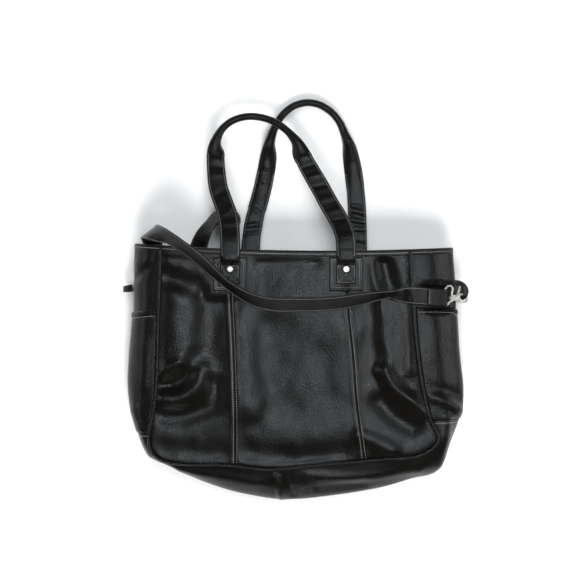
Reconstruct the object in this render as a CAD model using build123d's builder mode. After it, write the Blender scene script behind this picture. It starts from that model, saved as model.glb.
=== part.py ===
"""Leather diaper tote, lying on its back with its handles laid out above the rim.

Frame: X across the bag, Y from the bottom towards the handles, Z up out of the front panel.
Z = 0 is the surface that the bag lies on. All sizes are in millimetres.
"""
from build123d import *
import os

os.makedirs("parts", exist_ok=True)

# ---- driving dimensions -------------------------------------------------------------
LEATHER = 2.0             # outer shell, leather and its backing
LINING = 0.8
BELLY_DEPTH = 12.0        # the back panel sags this far below its own seam
GUSSET_LOW = BELLY_DEPTH + LEATHER    # where the gusset meets the back panel
GUSSET_FOLD = 32.0        # middle fold of the gusset, the widest line of the bag
GUSSET_HIGH = 54.0        # where the gusset meets the front panel
PANEL_TOP = GUSSET_HIGH + LEATHER
PIPING_HEIGHT = 4.0
PIPING_OUT = 1.5          # how far the piping stands outside the seam
PIPING_IN = 2.5
BINDING = 1.2             # rim binding, its thickness on each side of the leather
BINDING_BAND = 8.0        # rim binding, its height
POCKET_SKIN = 1.6
MOUTH_Y = 85.0            # the outlines run on to here, and the rim line cuts them

STRAP_WIDTH = 23.0
STRAP_THICK = 2.6
HANDLE_CORE = 6.0

PATCH_SIZE = 44.0
PATCH_THICK = 1.5
PATCH_CORNER = 2.0
TAB_SIZE = 26.0
TAB_THICK = 3.0
PATCH_Y = 31.5
RIVET_Y = 38.0
RIVET_CAP_RADIUS = 4.1
RIVET_CAP_HEIGHT = 1.5
RIVET_CAP_ROUND = 1.1
RIVET_POST_RADIUS = 1.4
RIVET_HOLE_RADIUS = 1.5
WASHER_RADIUS = 4.0
WASHER_THICK = 1.0
CLINCH_RADIUS = 2.2
CLINCH_HEIGHT = 0.6
FRONT_HANDLE_X = (-85.5, 65.0)
REAR_HANDLE_X = (-59.8, 80.6)

SNAP_RADIUS = 9.0
SNAP_THICK = 3.0
SNAP_AT = (-14.0, 38.0)
SNAP_EDGE = 0.6
SNAP_BOSS_RADIUS = 4.0
SNAP_BOSS_HEIGHT = 1.6
SNAP_RECESS_RADIUS = 4.3

INNER_POCKET = (200, 120)
INNER_POCKET_CORNER = 8.0
INNER_POCKET_AT = (-10, -60)

# reach of the volumes that cut pieces apart, beyond every side of the bag
SIDE_LIMIT = 300.0
REGION_Z = (-10.0, 90.0)

# ---- outlines of the body: left rim corner, down, along the bottom, up to the right ----
BACK_OUTLINE = [
    (-176, MOUTH_Y), (-178, -20), (-180, -149), (-180, -178), (-172, -198), (-155, -207),
    (-85, -211), (-30, -213), (30, -213), (112, -209), (150, -204), (168, -188),
    (172, -150), (168, -60), (165, 25), (163, MOUTH_Y),
]
FOLD_OUTLINE = [
    (-210.5, MOUTH_Y), (-212.5, -20), (-213.5, -146), (-205, -174), (-189, -209), (-164, -223),
    (-85, -250), (-27, -261.5), (40, -258), (148, -236), (186, -222), (199, -193),
    (215, -148), (211, -56), (207.5, 25), (205, MOUTH_Y),
]
FRONT_OUTLINE = [
    (-175.5, MOUTH_Y), (-178.5, -20), (-185, -149), (-190, -175), (-189, -196), (-177, -209),
    (-85, -216.5), (-36, -221.5), (30, -215.5), (112, -208.5), (160, -203.5), (183, -187),
    (172, -152), (157, -70), (150, 20), (148, MOUTH_Y),
]
RIM_LEFT = (-240, 74.5)
RIM_MIDDLE = (-10, 62.5)
RIM_RIGHT = (240, 68.5)

LEFT_SEAM = [(-85.5, 95), (-85.5, 30), (-81, -77), (-79, -150), (-79, -240)]
RIGHT_SEAM = [(65, 95), (65, 30), (68, -20), (74, -77), (78, -130), (88, -207), (90, -240)]
BOTTOM_SEAM_LEFT = -174.0
BOTTOM_SEAM_RIGHT = -157.0
LEFT_POCKET_TOP = -21.0
RIGHT_POCKET_TOP = -14.0

# belly of the back panel: the flat that it rests on, and where it leaves the panel
BELLY_FLAT = [(-140, -10), (-140, -185), (125, -185), (125, -10)]
BELLY_EDGE = [(-158, 8), (-158, -198), (142, -198), (142, 8)]

# ---- handles: centre line, height, and the section's width and thickness -------------
FRONT_HANDLE = [
    (-85.5, 47.3, 59.7, 25, 2.6), (-85.4, 52, 59.9, 25.5, 3.2), (-85.2, 66, 60, 26, 3.2),
    (-85.6, 76, 58.5, 26, 3.4), (-86.5, 90, 53.5, 26, 3.4), (-88.6, 107, 48.5, 26, 3.6),
    (-94.3, 124, 44, 25.5, 3.8), (-100.8, 143, 39.5, 25, 4), (-104, 167, 34.5, 24, 4.2),
    (-104.7, 190, 29.5, 22, 5), (-102.5, 207, 26, 15, 7.5), (-97, 220, 24, 10.4, 9.6),
    (-86.5, 230, 22.5, 10, 10), (-72.8, 236, 21.5, 10, 10), (-59.5, 237.8, 21, 10, 10),
    (-45.5, 236.4, 21, 10, 10), (-31.5, 232, 21.5, 10, 10), (-20, 225.5, 22.3, 10, 10),
    (-10, 217, 23.8, 10.4, 9.6), (-2.4, 206.5, 25.8, 15, 7.5), (5, 192, 28, 21, 5),
    (16.3, 171, 32, 24, 4.2), (31.2, 145, 37.5, 25, 4), (44.2, 121, 43.5, 25.5, 3.8),
    (54.8, 103, 49, 26, 3.6), (61.5, 88, 54, 26, 3.4), (64.4, 76, 58.4, 26, 3.4),
    (65, 66, 60, 26, 3.2), (65, 52, 59.9, 25.5, 3.2), (65, 47.3, 59.7, 25, 2.6),
]
REAR_HANDLE = [
    (-59.8, 47.3, 8.3, 25, 2.6), (-59.8, 52, 8.2, 25, 3.2), (-59.5, 66, 7.6, 24.5, 3.2),
    (-58.3, 80, 6.5, 24, 3.4), (-55.6, 98, 5.2, 24, 3.4), (-51.4, 116, 4.4, 23, 3.6),
    (-44.8, 140, 4, 22.5, 3.8), (-39.2, 166, 4.2, 22, 4.2), (-35, 190, 4.8, 20, 5),
    (-31.5, 210, 5.6, 14, 7.5), (-26, 227, 6, 10.4, 9.6),
    (-16, 242, 6.2, 10, 10), (-2, 252.5, 6.2, 10, 10), (13, 256.6, 6.2, 10, 10),
    (27.5, 255, 6.2, 10, 10), (40, 249, 6.2, 10, 10), (50.5, 240, 6.2, 10, 10),
    (58, 229, 6.1, 10.4, 9.6), (63, 215, 5.6, 13, 8), (68.2, 199, 4.9, 18, 5.6),
    (72.8, 180, 4.5, 21, 4.6), (76.8, 156, 4.2, 22.5, 4.2), (79.3, 131, 4.2, 23.5, 3.8),
    (80.6, 104, 5, 24, 3.6), (80.8, 84, 6.2, 24.5, 3.4), (80.7, 66, 7.6, 25, 3.2),
    (80.6, 52, 8.2, 25, 3.2), (80.6, 47.3, 8.3, 25, 2.6),
]
TUBE_STATIONS = 9.0       # a station thicker than this belongs to the rolled grip
BAND_CUT = 0.28           # corner cut of every band, as a share of its smaller size

# ---- shoulder strap: centre line and the direction of its width ----------------------
STRAP_ROUTE = [
    (192.1, 0.8, 42.0, 0, 1, 0), (184, 1, 44.9, 0, 1, 0), (174, 2, 49, 0, 1, 0),
    (163, 3, 54.2, 0, 1, 0), (150, 4, 62.6, 0, 1, 0.08), (137, 5, 65, 0, 0.83, 0.56),
    (124.8, 6, 69.6, 0, 0.45, 0.89), (105, 3.5, 69.2, 0, 0.53, 0.85),
    (82, -1, 67, 0, 0.72, 0.69), (60, -5, 66, 0, 0.77, 0.64), (30, -7.5, 65.6, 0, 0.79, 0.62),
    (0, -8, 65.6, 0, 0.79, 0.62), (-30, -7.5, 65.6, 0.1, 0.78, 0.62),
    (-52, -2.5, 67, 0.3, 0.65, 0.7), (-71, 6.5, 69.8, 0.35, 0.47, 0.81),
    (-89.7, 19, 71.3, 0.33, 0.38, 0.86), (-104, 31.5, 70.2, 0.36, 0.42, 0.83),
    (-118, 44.5, 69.4, 0.38, 0.48, 0.79), (-136, 59.5, 69.2, 0.36, 0.53, 0.77),
    (-153, 71, 70, 0.34, 0.55, 0.77), (-168, 80.5, 68, 0.4, 0.6, 0.69),
    (-181, 84.5, 58, 0.6, 0.62, 0.5), (-190, 86, 45, 0.76, 0.6, 0.25),
    (-193, 85.5, 30, 0.82, 0.57, 0), (-192, 82, 17, 0.87, 0.48, -0.1),
    (-188, 72, 7.5, 0.93, 0.36, 0), (-181, 58.5, 3, 0.86, 0.5, 0),
    (-167, 47, 2.2, 0.5, 0.86, 0), (-150, 44, 2.2, 0, 1, 0), (-136, 50, 2.3, -0.66, 0.75, 0),
    (-129, 64, 4.3, -0.93, 0.33, -0.1), (-123, 80, 8.8, -0.8, 0.35, -0.45),
    (-113, 96, 12.8, -0.55, 0.35, -0.76), (-101, 109, 14, -0.4, 0.5, -0.77),
    (-88, 114, 14.5, 0, 0.55, -0.84), (-79.5, 106, 15, 0.45, 0.3, -0.84),
    (-78, 93, 14.5, 0.3, 0, -0.95), (-81, 80, 11.5, 0.62, -0.05, -0.78),
    (-86, 67, 5.7, 0.95, -0.1, -0.28), (-91, 53, 2.6, 0.88, -0.47, 0),
    (-103, 38, 2.2, 0.62, -0.78, 0), (-123, 25, 2.2, 0.35, -0.94, 0),
    (-147, 16.5, 2.2, 0.2, -0.98, 0), (-166, 12.5, 2.8, 0.1, -0.99, 0),
    (-180.6, 11, 4.1, 0, -1, 0),
]

# ---- side loops: centre line, direction of the width, width ---------------------------
LOOP_THICK = 1.6
RIGHT_LOOP = [
    (203, 21, 35.3, 0, 1, 0, 6), (212, 20.8, 36.2, 0.2, 1, 0, 5.4),
    (218.8, 16.4, 38.3, 0.75, 0.65, 0, 5.6), (222.2, 9, 38.8, 1, 0.1, 0, 6),
    (220, 2.8, 38.6, 1, 0, 0, 5), (217.5, -0.9, 36.2, 1, 0, 0, 4.2),
    (217.2, -1.2, 32.4, 1, 0, 0, 4.2), (216.6, 1.4, 29.4, 1, 0, 0, 5.4),
    (212, 8, 28.4, 0.8, -0.5, 0, 9), (203.5, 12, 28.2, 0, -1, 0, 10),
]
LEFT_LOOP = [
    (-205, 13.5, 26.6, 0, 1, 0, 9), (-206.4, 13, 20, 0, 1, 0, 5),
    (-206, 12.6, 11, 0, 1, 0, 3.6), (-206.6, 12.6, 6.6, 0, 1, 0, 3.6),
    (-210, 12.6, 4.2, 0, 1, 0, 5), (-216.5, 12.6, 6, 0, 1, 0, 7),
    (-222.5, 12.4, 12.5, 0, 1, 0, 8), (-225.4, 12, 20, 0, 1, 0, 8),
    (-221, 12.6, 26.5, 0, 1, 0, 9), (-213.2, 13.5, 29.4, 0, 1, 0, 10),
]

# ---- snap hook, in its own frame: x along the hook from the strap, z across the claw ---
RIGHT_HOOK_AT = (194, 0.8, 41.5)
RIGHT_HOOK_X = (0.961, 0, -0.276)
RIGHT_HOOK_Z = (0.276, 0, 0.961)
LEFT_HOOK_AT = (-182.5, 11, 4.5)
LEFT_HOOK_X = (-0.966, 0, 0.2588)
LEFT_HOOK_Z = (0.2588, 0, 0.966)
EYE_WIRE_RADIUS = 1.2
EYE_POINTS = [
    (0, -9.8), (0, 11.5), (3.5, 15.5), (8, 15.8), (10.6, 12), (9.6, 7),
    (9.2, 3.6), (9.2, -4.2), (6.4, -5), (3.2, -8.8),
]
EYE_BEND = 1.25
BARREL_START = 8.6
BARREL_END = 14.2
BARREL_RADIUS = 3.8
BARREL_EDGE = 0.5
STEM_RADIUS = 1.5
STEM_BORE = 1.7
STEM_HEAD_RADIUS = 2.2
STEM_HEAD_START = 6.4
STEM_HEAD_END = 7.7
STEM_ROOT = 0.5           # how far the stem runs into the claw
CLAW_START = 14.4
CLAW_LENGTH = 17.6
CLAW_WIDTH = 13.2
CLAW_THICK = 5.2
CLAW_MIDDLE_Y = -0.4
CLAW_CORNER = 5.5
CLAW_OPENING_CORNER = 3.0
CLAW_EDGE = 0.7
CLAW_OPENING = (19.8, 28.9, -4.2, 3.4)
GATE_GAP = (19.8, 27.8, 2.0, 7.0)
GATE_TIP = 27.5
GATE_Y = (3.3, 5.5)
PIVOT = (17.3, 4.2)
PIVOT_BOSS = 1.9
PIN_RADIUS = 0.75
PIN_HOLE = 0.8
TRIGGER_HOLE = 0.9
LEVER_TIP = (20.7, 15.0)
LEVER_WIDTH = 2.3
SLOT = (15.15, 23.5, 1.2, 10.0)
SLOT_HALF = 1.5
TRIGGER_Z = (-1.3, 0.5)
SPRING_Z = (0.7, 1.4)
SPRING_RADII = (1.0, 1.7)
STRAP_LOOP_RADIUS = 3.2
STRAP_LOOP_BORE = 1.5
STRAP_LOOP_Y = (-6.6, 9.4)
STRAP_LOOP_BORE_RUN = 20.0    # the bore runs on this far past both edges of the fold


# ---- shared shapes ---------------------------------------------------------------------
def inset(outline, distance):
    """Move every side of an anticlockwise outline inwards by one distance."""
    moved = []
    for index, corner in enumerate(outline):
        here = Vector(*corner)
        before = here - Vector(*outline[index - 1])
        after = Vector(*outline[(index + 1) % len(outline)]) - here
        normal_before = Vector(-before.Y, before.X).normalized()
        normal_after = Vector(-after.Y, after.X).normalized()
        reach = distance / (1 + normal_before.dot(normal_after))
        shifted = here + (normal_before + normal_after) * reach
        moved.append((shifted.X, shifted.Y))
    return moved


def lofted(levels):
    """A solid with straight sides between outlines at several heights."""
    with BuildPart() as solid:
        for height, outline in levels:
            with BuildSketch(Plane.XY.offset(height)):
                Polygon(*outline, align=None)
        loft(ruled=True)
    return solid.part


def slab(outline, low, high):
    """An outline extruded between two heights."""
    with BuildPart() as solid:
        with BuildSketch(Plane.XY.offset(low)):
            Polygon(*outline, align=None)
        extrude(amount=high - low)
    return solid.part


def body_volume(depth):
    """The bag's solid volume between its two panels, with its walls moved in by depth."""
    return lofted([
        (GUSSET_LOW, inset(BACK_OUTLINE, depth)),
        (GUSSET_FOLD, inset(FOLD_OUTLINE, depth)),
        (GUSSET_HIGH, inset(FRONT_OUTLINE, depth)),
    ])


def belly_volume(depth, low, high):
    """The sagging tray of the back panel, with its walls moved in by depth."""
    return lofted([(low, inset(BELLY_FLAT, depth)), (high, inset(BELLY_EDGE, depth))])


def above_rim(drop):
    """Everything on the handle side of the rim line, lowered by drop."""
    left = (RIM_LEFT[0], RIM_LEFT[1] - drop)
    middle = (RIM_MIDDLE[0], RIM_MIDDLE[1] - drop)
    right = (RIM_RIGHT[0], RIM_RIGHT[1] - drop)
    with BuildPart() as solid:
        with BuildSketch(Plane.XY.offset(REGION_Z[0])):
            with BuildLine():
                ThreePointArc(left, middle, right)
                Polyline(right, (RIM_RIGHT[0], SIDE_LIMIT), (RIM_LEFT[0], SIDE_LIMIT), left)
            make_face()
        extrude(amount=REGION_Z[1] - REGION_Z[0])
    return solid.part


def region(points):
    """A tall block over one region of the plan, used to cut pieces apart."""
    return slab(points, *REGION_Z)


def cut_piece(name, solid, keep=None, remove=()):
    """One named piece: a solid, limited to a region, with other volumes taken away."""
    with BuildPart() as piece:
        add(solid)
        if keep is not None:
            add(keep, mode=Mode.INTERSECT)
        for volume in remove:
            add(volume, mode=Mode.SUBTRACT)
    return finish_piece(name, piece)


def finish_piece(name, piece):
    """Label a finished piece and write its STEP file."""
    piece.part.label = name
    export_step(piece.part, f"parts/{name}.step")
    return piece.part


def post_holes(places, low, high):
    """Holes for the rivet posts through the layers between two heights."""
    with BuildPart() as holes:
        with BuildSketch(Plane.XY.offset(low)):
            with Locations(*places):
                Circle(RIVET_HOLE_RADIUS)
        extrude(amount=high - low)
    return holes.part


def band_section(width, thick):
    """A flat band's section with its four corners cut, centred in the open sketch."""
    cut = BAND_CUT * min(width, thick)
    half_width = width / 2
    half_thick = thick / 2
    corners = [
        (half_width, -half_thick + cut), (half_width, half_thick - cut),
        (half_width - cut, half_thick), (-half_width + cut, half_thick),
        (-half_width, half_thick - cut), (-half_width, -half_thick + cut),
        (-half_width + cut, -half_thick), (half_width - cut, -half_thick),
    ]
    Polygon(*corners, align=None)


def station_planes(centres, width_directions):
    """A plane across the path at each centre, with x along the band's width."""
    planes = []
    last = len(centres) - 1
    for index, centre in enumerate(centres):
        ahead = centres[min(index + 1, last)]
        behind = centres[max(index - 1, 0)]
        along = (ahead - behind).normalized()
        across = width_directions[index]
        if across is None:
            across = Vector(0, 0, 1).cross(along)
        across = (across - along * across.dot(along)).normalized()
        planes.append(Plane(origin=centre, x_dir=across, z_dir=along))
    return planes


def band_loft(planes, widths, thicknesses):
    """A band through a row of planes, each with its own width and thickness."""
    with BuildPart() as band:
        for plane, width, thick in zip(planes, widths, thicknesses):
            with BuildSketch(plane):
                band_section(width, thick)
        loft(ruled=True)
    return band.part


# ---- leather shell ---------------------------------------------------------------------
panel_limit = above_rim(BINDING_BAND)
outer_volume = body_volume(0)
inner_volume = body_volume(LEATHER)
with BuildPart() as gusset_ring:
    add(outer_volume)
    add(inner_volume, mode=Mode.SUBTRACT)
    add(panel_limit, mode=Mode.SUBTRACT)

bottom_region = region([
    (-SIDE_LIMIT, BOTTOM_SEAM_LEFT), (-SIDE_LIMIT, -SIDE_LIMIT), (SIDE_LIMIT, -SIDE_LIMIT),
    (SIDE_LIMIT, BOTTOM_SEAM_RIGHT), (0, BOTTOM_SEAM_RIGHT), (0, BOTTOM_SEAM_LEFT),
])
left_side_region = region([
    (-SIDE_LIMIT, MOUTH_Y), (-SIDE_LIMIT, BOTTOM_SEAM_LEFT), (0, BOTTOM_SEAM_LEFT), (0, MOUTH_Y),
])
right_side_region = region([
    (0, MOUTH_Y), (0, BOTTOM_SEAM_RIGHT), (SIDE_LIMIT, BOTTOM_SEAM_RIGHT), (SIDE_LIMIT, MOUTH_Y),
])
left_gusset = cut_piece("left_gusset", gusset_ring.part, keep=left_side_region)
right_gusset = cut_piece("right_gusset", gusset_ring.part, keep=right_side_region)
bottom_gusset = cut_piece("bottom_gusset", gusset_ring.part, keep=bottom_region)

front_rivets = [(x, RIVET_Y) for x in FRONT_HANDLE_X]
rear_rivets = [(x, RIVET_Y) for x in REAR_HANDLE_X]
front_plate = slab(inset(FRONT_OUTLINE, PIPING_IN), GUSSET_HIGH, PANEL_TOP)
front_holes = post_holes(front_rivets, GUSSET_HIGH - LINING, PANEL_TOP)
rear_holes = post_holes(rear_rivets, BELLY_DEPTH, GUSSET_LOW + LINING)
left_region = region(LEFT_SEAM + [(-SIDE_LIMIT, -240), (-SIDE_LIMIT, 95)])
right_region = region(RIGHT_SEAM + [(SIDE_LIMIT, -240), (SIDE_LIMIT, 95)])
center_region = region(LEFT_SEAM + RIGHT_SEAM[::-1])
for name, part_region in (
    ("front_left_panel", left_region),
    ("front_center_panel", center_region),
    ("front_right_panel", right_region),
):
    cut_piece(name, front_plate, keep=part_region, remove=[panel_limit, front_holes])

with BuildPart() as back_shell:
    add(slab(inset(BACK_OUTLINE, PIPING_IN), BELLY_DEPTH, GUSSET_LOW))
    add(belly_volume(0, 0, BELLY_DEPTH))
    add(belly_volume(LEATHER, LEATHER, GUSSET_LOW), mode=Mode.SUBTRACT)
cut_piece("back_panel", back_shell.part, remove=[panel_limit, rear_holes])

for name, outline, low in (
    ("front_piping", FRONT_OUTLINE, GUSSET_HIGH),
    ("back_piping", BACK_OUTLINE, GUSSET_LOW - PIPING_HEIGHT),
):
    cut_piece(
        name,
        slab(inset(outline, -PIPING_OUT), low, low + PIPING_HEIGHT),
        remove=[slab(inset(outline, PIPING_IN), low, low + PIPING_HEIGHT), panel_limit],
    )

pocket_outer = body_volume(-POCKET_SKIN)
for name, top, bottom, near, far in (
    ("left_side_pocket", LEFT_POCKET_TOP, BOTTOM_SEAM_LEFT, 0, -SIDE_LIMIT),
    ("right_side_pocket", RIGHT_POCKET_TOP, BOTTOM_SEAM_RIGHT, 0, SIDE_LIMIT),
):
    cut_piece(
        name,
        pocket_outer,
        keep=region([(near, top), (near, bottom), (far, bottom), (far, top)]),
        remove=[outer_volume],
    )

# rim binding: a band round the mouth, a little thicker than the leather that it covers
with BuildPart() as mouth:
    add(body_volume(LEATHER + LINING + BINDING))
    with BuildSketch(Plane.XY.offset(GUSSET_LOW + LINING + BINDING)):
        Rectangle(2 * SIDE_LIMIT, 2 * SIDE_LIMIT)
    extrude(amount=GUSSET_HIGH - GUSSET_LOW - 2 * (LINING + BINDING), mode=Mode.INTERSECT)
with BuildPart() as rim_band:
    add(body_volume(-BINDING))
    add(slab(inset(FRONT_OUTLINE, -BINDING), GUSSET_HIGH, PANEL_TOP + BINDING))
    add(slab(inset(BACK_OUTLINE, -BINDING), BELLY_DEPTH - BINDING, GUSSET_LOW))
    add(mouth.part, mode=Mode.SUBTRACT)
    add(panel_limit, mode=Mode.INTERSECT)
    add(above_rim(0), mode=Mode.SUBTRACT)
finish_piece("rim_binding", rim_band)

# ---- lining, inner pocket and magnetic snap --------------------------------------------
cavity_low = GUSSET_LOW + LINING
cavity_high = GUSSET_HIGH - LINING
with BuildPart() as cavity:
    add(body_volume(LEATHER + LINING))
    with BuildSketch(Plane.XY.offset(cavity_low)):
        Rectangle(2 * SIDE_LIMIT, 2 * SIDE_LIMIT)
    extrude(amount=cavity_high - cavity_low, mode=Mode.INTERSECT)
    add(belly_volume(LEATHER + LINING, LEATHER + LINING, cavity_low))
with BuildPart() as lining_skin:
    add(inner_volume)
    add(belly_volume(LEATHER, LEATHER, GUSSET_LOW))
cut_piece("lining", lining_skin.part, remove=[cavity.part, panel_limit, front_holes, rear_holes])

with BuildPart() as inner_pocket:
    with BuildSketch(Plane.XY.offset(cavity_high - LINING)):
        with Locations(INNER_POCKET_AT):
            RectangleRounded(*INNER_POCKET, INNER_POCKET_CORNER)
    extrude(amount=LINING)
finish_piece("inner_pocket", inner_pocket)

with BuildPart() as snap_stud:
    with BuildSketch(Plane.XY.offset(cavity_high - SNAP_THICK)):
        with Locations(SNAP_AT):
            Circle(SNAP_RADIUS)
    extrude(amount=SNAP_THICK)
    chamfer(snap_stud.edges().group_by(Axis.Z)[0], SNAP_EDGE)
    with BuildSketch(Plane.XY.offset(cavity_high - SNAP_THICK - SNAP_BOSS_HEIGHT)):
        with Locations(SNAP_AT):
            Circle(SNAP_BOSS_RADIUS)
    extrude(amount=SNAP_BOSS_HEIGHT)
finish_piece("snap_stud", snap_stud)
with BuildPart() as snap_socket:
    with BuildSketch(Plane.XY.offset(cavity_low)):
        with Locations(SNAP_AT):
            Circle(SNAP_RADIUS)
    extrude(amount=SNAP_THICK)
    chamfer(snap_socket.edges().group_by(Axis.Z)[-1], SNAP_EDGE)
    with BuildSketch(Plane.XY.offset(cavity_low + SNAP_THICK - SNAP_BOSS_HEIGHT)):
        with Locations(SNAP_AT):
            Circle(SNAP_RECESS_RADIUS)
    extrude(amount=SNAP_BOSS_HEIGHT, mode=Mode.SUBTRACT)
finish_piece("snap_socket", snap_socket)


# ---- handle patches, stitched strap ends and rivets -------------------------------------
def stitched_square(name, x, size, low, thick):
    """A square of leather sewn round a rivet, with its rivet hole."""
    with BuildPart() as square:
        with BuildSketch(Plane.XY.offset(low)):
            with Locations((x, PATCH_Y)):
                RectangleRounded(size, size, PATCH_CORNER)
            with Locations((x, RIVET_Y)):
                Circle(RIVET_HOLE_RADIUS, mode=Mode.SUBTRACT)
        extrude(amount=thick)
    return finish_piece(name, square)


tab_low = PANEL_TOP + PATCH_THICK
rear_patch_low = BELLY_DEPTH - PATCH_THICK
rear_tab_low = rear_patch_low - TAB_THICK
for side, front_x, rear_x in zip(("left", "right"), FRONT_HANDLE_X, REAR_HANDLE_X):
    stitched_square(f"front_{side}_patch", front_x, PATCH_SIZE, PANEL_TOP, PATCH_THICK)
    stitched_square(f"front_{side}_tab", front_x, TAB_SIZE, tab_low, TAB_THICK)
    stitched_square(f"rear_{side}_patch", rear_x, PATCH_SIZE, rear_patch_low, PATCH_THICK)
    stitched_square(f"rear_{side}_tab", rear_x, TAB_SIZE, rear_tab_low, TAB_THICK)


def rivet(x, cap_base, out, clinch_base):
    """A rivet: domed cap, post and clinched head; out is +1 on the front, -1 on the back."""
    cap_plane = Plane(origin=(x, RIVET_Y, cap_base), z_dir=(0, 0, out))
    post_length = abs(cap_base - clinch_base) + CLINCH_HEIGHT
    with BuildPart() as solid:
        with BuildSketch(cap_plane):
            Circle(RIVET_CAP_RADIUS)
        extrude(amount=RIVET_CAP_HEIGHT)
        outer_face = solid.faces().sort_by(Axis.Z)[-1 if out > 0 else 0]
        fillet(outer_face.edges(), RIVET_CAP_ROUND)
        with BuildSketch(cap_plane):
            Circle(RIVET_POST_RADIUS)
        extrude(amount=-post_length)
        with BuildSketch(cap_plane.offset(-post_length)):
            Circle(CLINCH_RADIUS)
        extrude(amount=CLINCH_HEIGHT)
    return solid.part


front_cap_base = tab_low + TAB_THICK
front_clinch = cavity_high - WASHER_THICK
rear_clinch = cavity_low + WASHER_THICK
with BuildPart() as handle_rivets:
    for x in FRONT_HANDLE_X:
        add(rivet(x, front_cap_base, 1, front_clinch))
    for x in REAR_HANDLE_X:
        add(rivet(x, rear_tab_low, -1, rear_clinch))
finish_piece("handle_rivets", handle_rivets)

with BuildPart() as rivet_washers:
    for places, low in ((front_rivets, front_clinch), (rear_rivets, cavity_low)):
        with BuildSketch(Plane.XY.offset(low)):
            with Locations(*places):
                Circle(WASHER_RADIUS)
                Circle(RIVET_HOLE_RADIUS, mode=Mode.SUBTRACT)
        extrude(amount=WASHER_THICK)
finish_piece("rivet_washers", rivet_washers)

# ---- handles ----------------------------------------------------------------------------
for name, stations in (("front_handle", FRONT_HANDLE), ("rear_handle", REAR_HANDLE)):
    centres = [Vector(*station[:3]) for station in stations]
    planes = station_planes(centres, [None] * len(stations))
    strap = band_loft(planes, [s[3] for s in stations], [s[4] for s in stations])
    grip_planes = [p for p, s in zip(planes, stations) if s[4] > TUBE_STATIONS]
    sizes = [HANDLE_CORE] * len(grip_planes)
    core = band_loft(grip_planes, sizes, sizes)
    cut_piece(f"{name}_core", core)
    cut_piece(f"{name}_strap", strap, remove=[core])


# ---- snap hooks -------------------------------------------------------------------------
def box_sketch(x_low, x_high, y_low, y_high):
    """A rectangle given by its four sides, in the open sketch."""
    with Locations(((x_low + x_high) / 2, (y_low + y_high) / 2)):
        Rectangle(x_high - x_low, y_high - y_low)


def hook_eye():
    """Bent wire eye that the strap folds round, with the barrel that the hook turns in."""
    with BuildPart() as eye:
        with BuildLine() as wire:
            FilletPolyline(*EYE_POINTS, radius=EYE_BEND, close=True)
        with BuildSketch(Plane(origin=wire.wire() @ 0, z_dir=wire.wire() % 0)):
            Circle(EYE_WIRE_RADIUS)
        sweep(path=wire.wire())
        with BuildSketch(Plane.YZ.offset(BARREL_START)):
            Circle(BARREL_RADIUS)
        extrude(amount=BARREL_END - BARREL_START)
        chamfer(eye.edges().filter_by(GeomType.CIRCLE).sort_by(Axis.X)[-1], BARREL_EDGE)
        with BuildSketch(Plane.YZ.offset(STEM_HEAD_END)):
            Circle(STEM_BORE)
        extrude(amount=BARREL_END - STEM_HEAD_END, mode=Mode.SUBTRACT)
    return eye.part


def hook_claw():
    """Stem, claw and the two cheeks that carry the trigger's pin."""
    middle_x = CLAW_START + CLAW_LENGTH / 2
    open_x = (CLAW_OPENING[0] + CLAW_OPENING[1]) / 2
    open_y = (CLAW_OPENING[2] + CLAW_OPENING[3]) / 2
    with BuildPart() as claw:
        with BuildSketch(Plane.XY.offset(-CLAW_THICK / 2)):
            with Locations((middle_x, CLAW_MIDDLE_Y)):
                RectangleRounded(CLAW_LENGTH, CLAW_WIDTH, CLAW_CORNER)
            with Locations((open_x, open_y)):
                RectangleRounded(
                    CLAW_OPENING[1] - CLAW_OPENING[0],
                    CLAW_OPENING[3] - CLAW_OPENING[2],
                    CLAW_OPENING_CORNER,
                    mode=Mode.SUBTRACT,
                )
        extrude(amount=CLAW_THICK)
        long_edges = claw.edges().filter_by(Plane.XY).group_by(Axis.Z)
        fillet(long_edges[0] + long_edges[-1], CLAW_EDGE)
        with BuildSketch(Plane.XY.offset(-CLAW_THICK)):
            box_sketch(*GATE_GAP)
            with Locations(PIVOT):
                Circle(PIN_HOLE)
        extrude(amount=2 * CLAW_THICK, mode=Mode.SUBTRACT)
        with BuildSketch(Plane.XY.offset(-SLOT_HALF)):
            box_sketch(*SLOT)
        extrude(amount=2 * SLOT_HALF, mode=Mode.SUBTRACT)
        with BuildSketch(Plane.YZ.offset(STEM_HEAD_START)):
            Circle(STEM_HEAD_RADIUS)
        extrude(amount=STEM_HEAD_END - STEM_HEAD_START)
        with BuildSketch(Plane.YZ.offset(STEM_HEAD_START)):
            Circle(STEM_RADIUS)
        extrude(amount=CLAW_START + STEM_ROOT - STEM_HEAD_START)
    return claw.part


def hook_trigger():
    """Spring-loaded gate with the thumb lever that opens it."""
    lever = Vector(*LEVER_TIP) - Vector(*PIVOT)
    lever_plane = Plane(origin=(*PIVOT, TRIGGER_Z[0]), x_dir=lever.normalized(), z_dir=(0, 0, 1))
    thick = TRIGGER_Z[1] - TRIGGER_Z[0]
    with BuildPart() as trigger:
        with BuildSketch(Plane.XY.offset(TRIGGER_Z[0])):
            with Locations(PIVOT):
                Circle(PIVOT_BOSS)
            box_sketch(PIVOT[0], GATE_TIP, *GATE_Y)
        extrude(amount=thick)
        with BuildSketch(lever_plane):
            with Locations((lever.length / 2, 0)):
                SlotOverall(lever.length + LEVER_WIDTH / 2, LEVER_WIDTH)
        extrude(amount=thick)
        with BuildSketch(Plane.XY.offset(TRIGGER_Z[0])):
            with Locations(PIVOT):
                Circle(TRIGGER_HOLE)
        extrude(amount=thick, mode=Mode.SUBTRACT)
    return trigger.part


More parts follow.
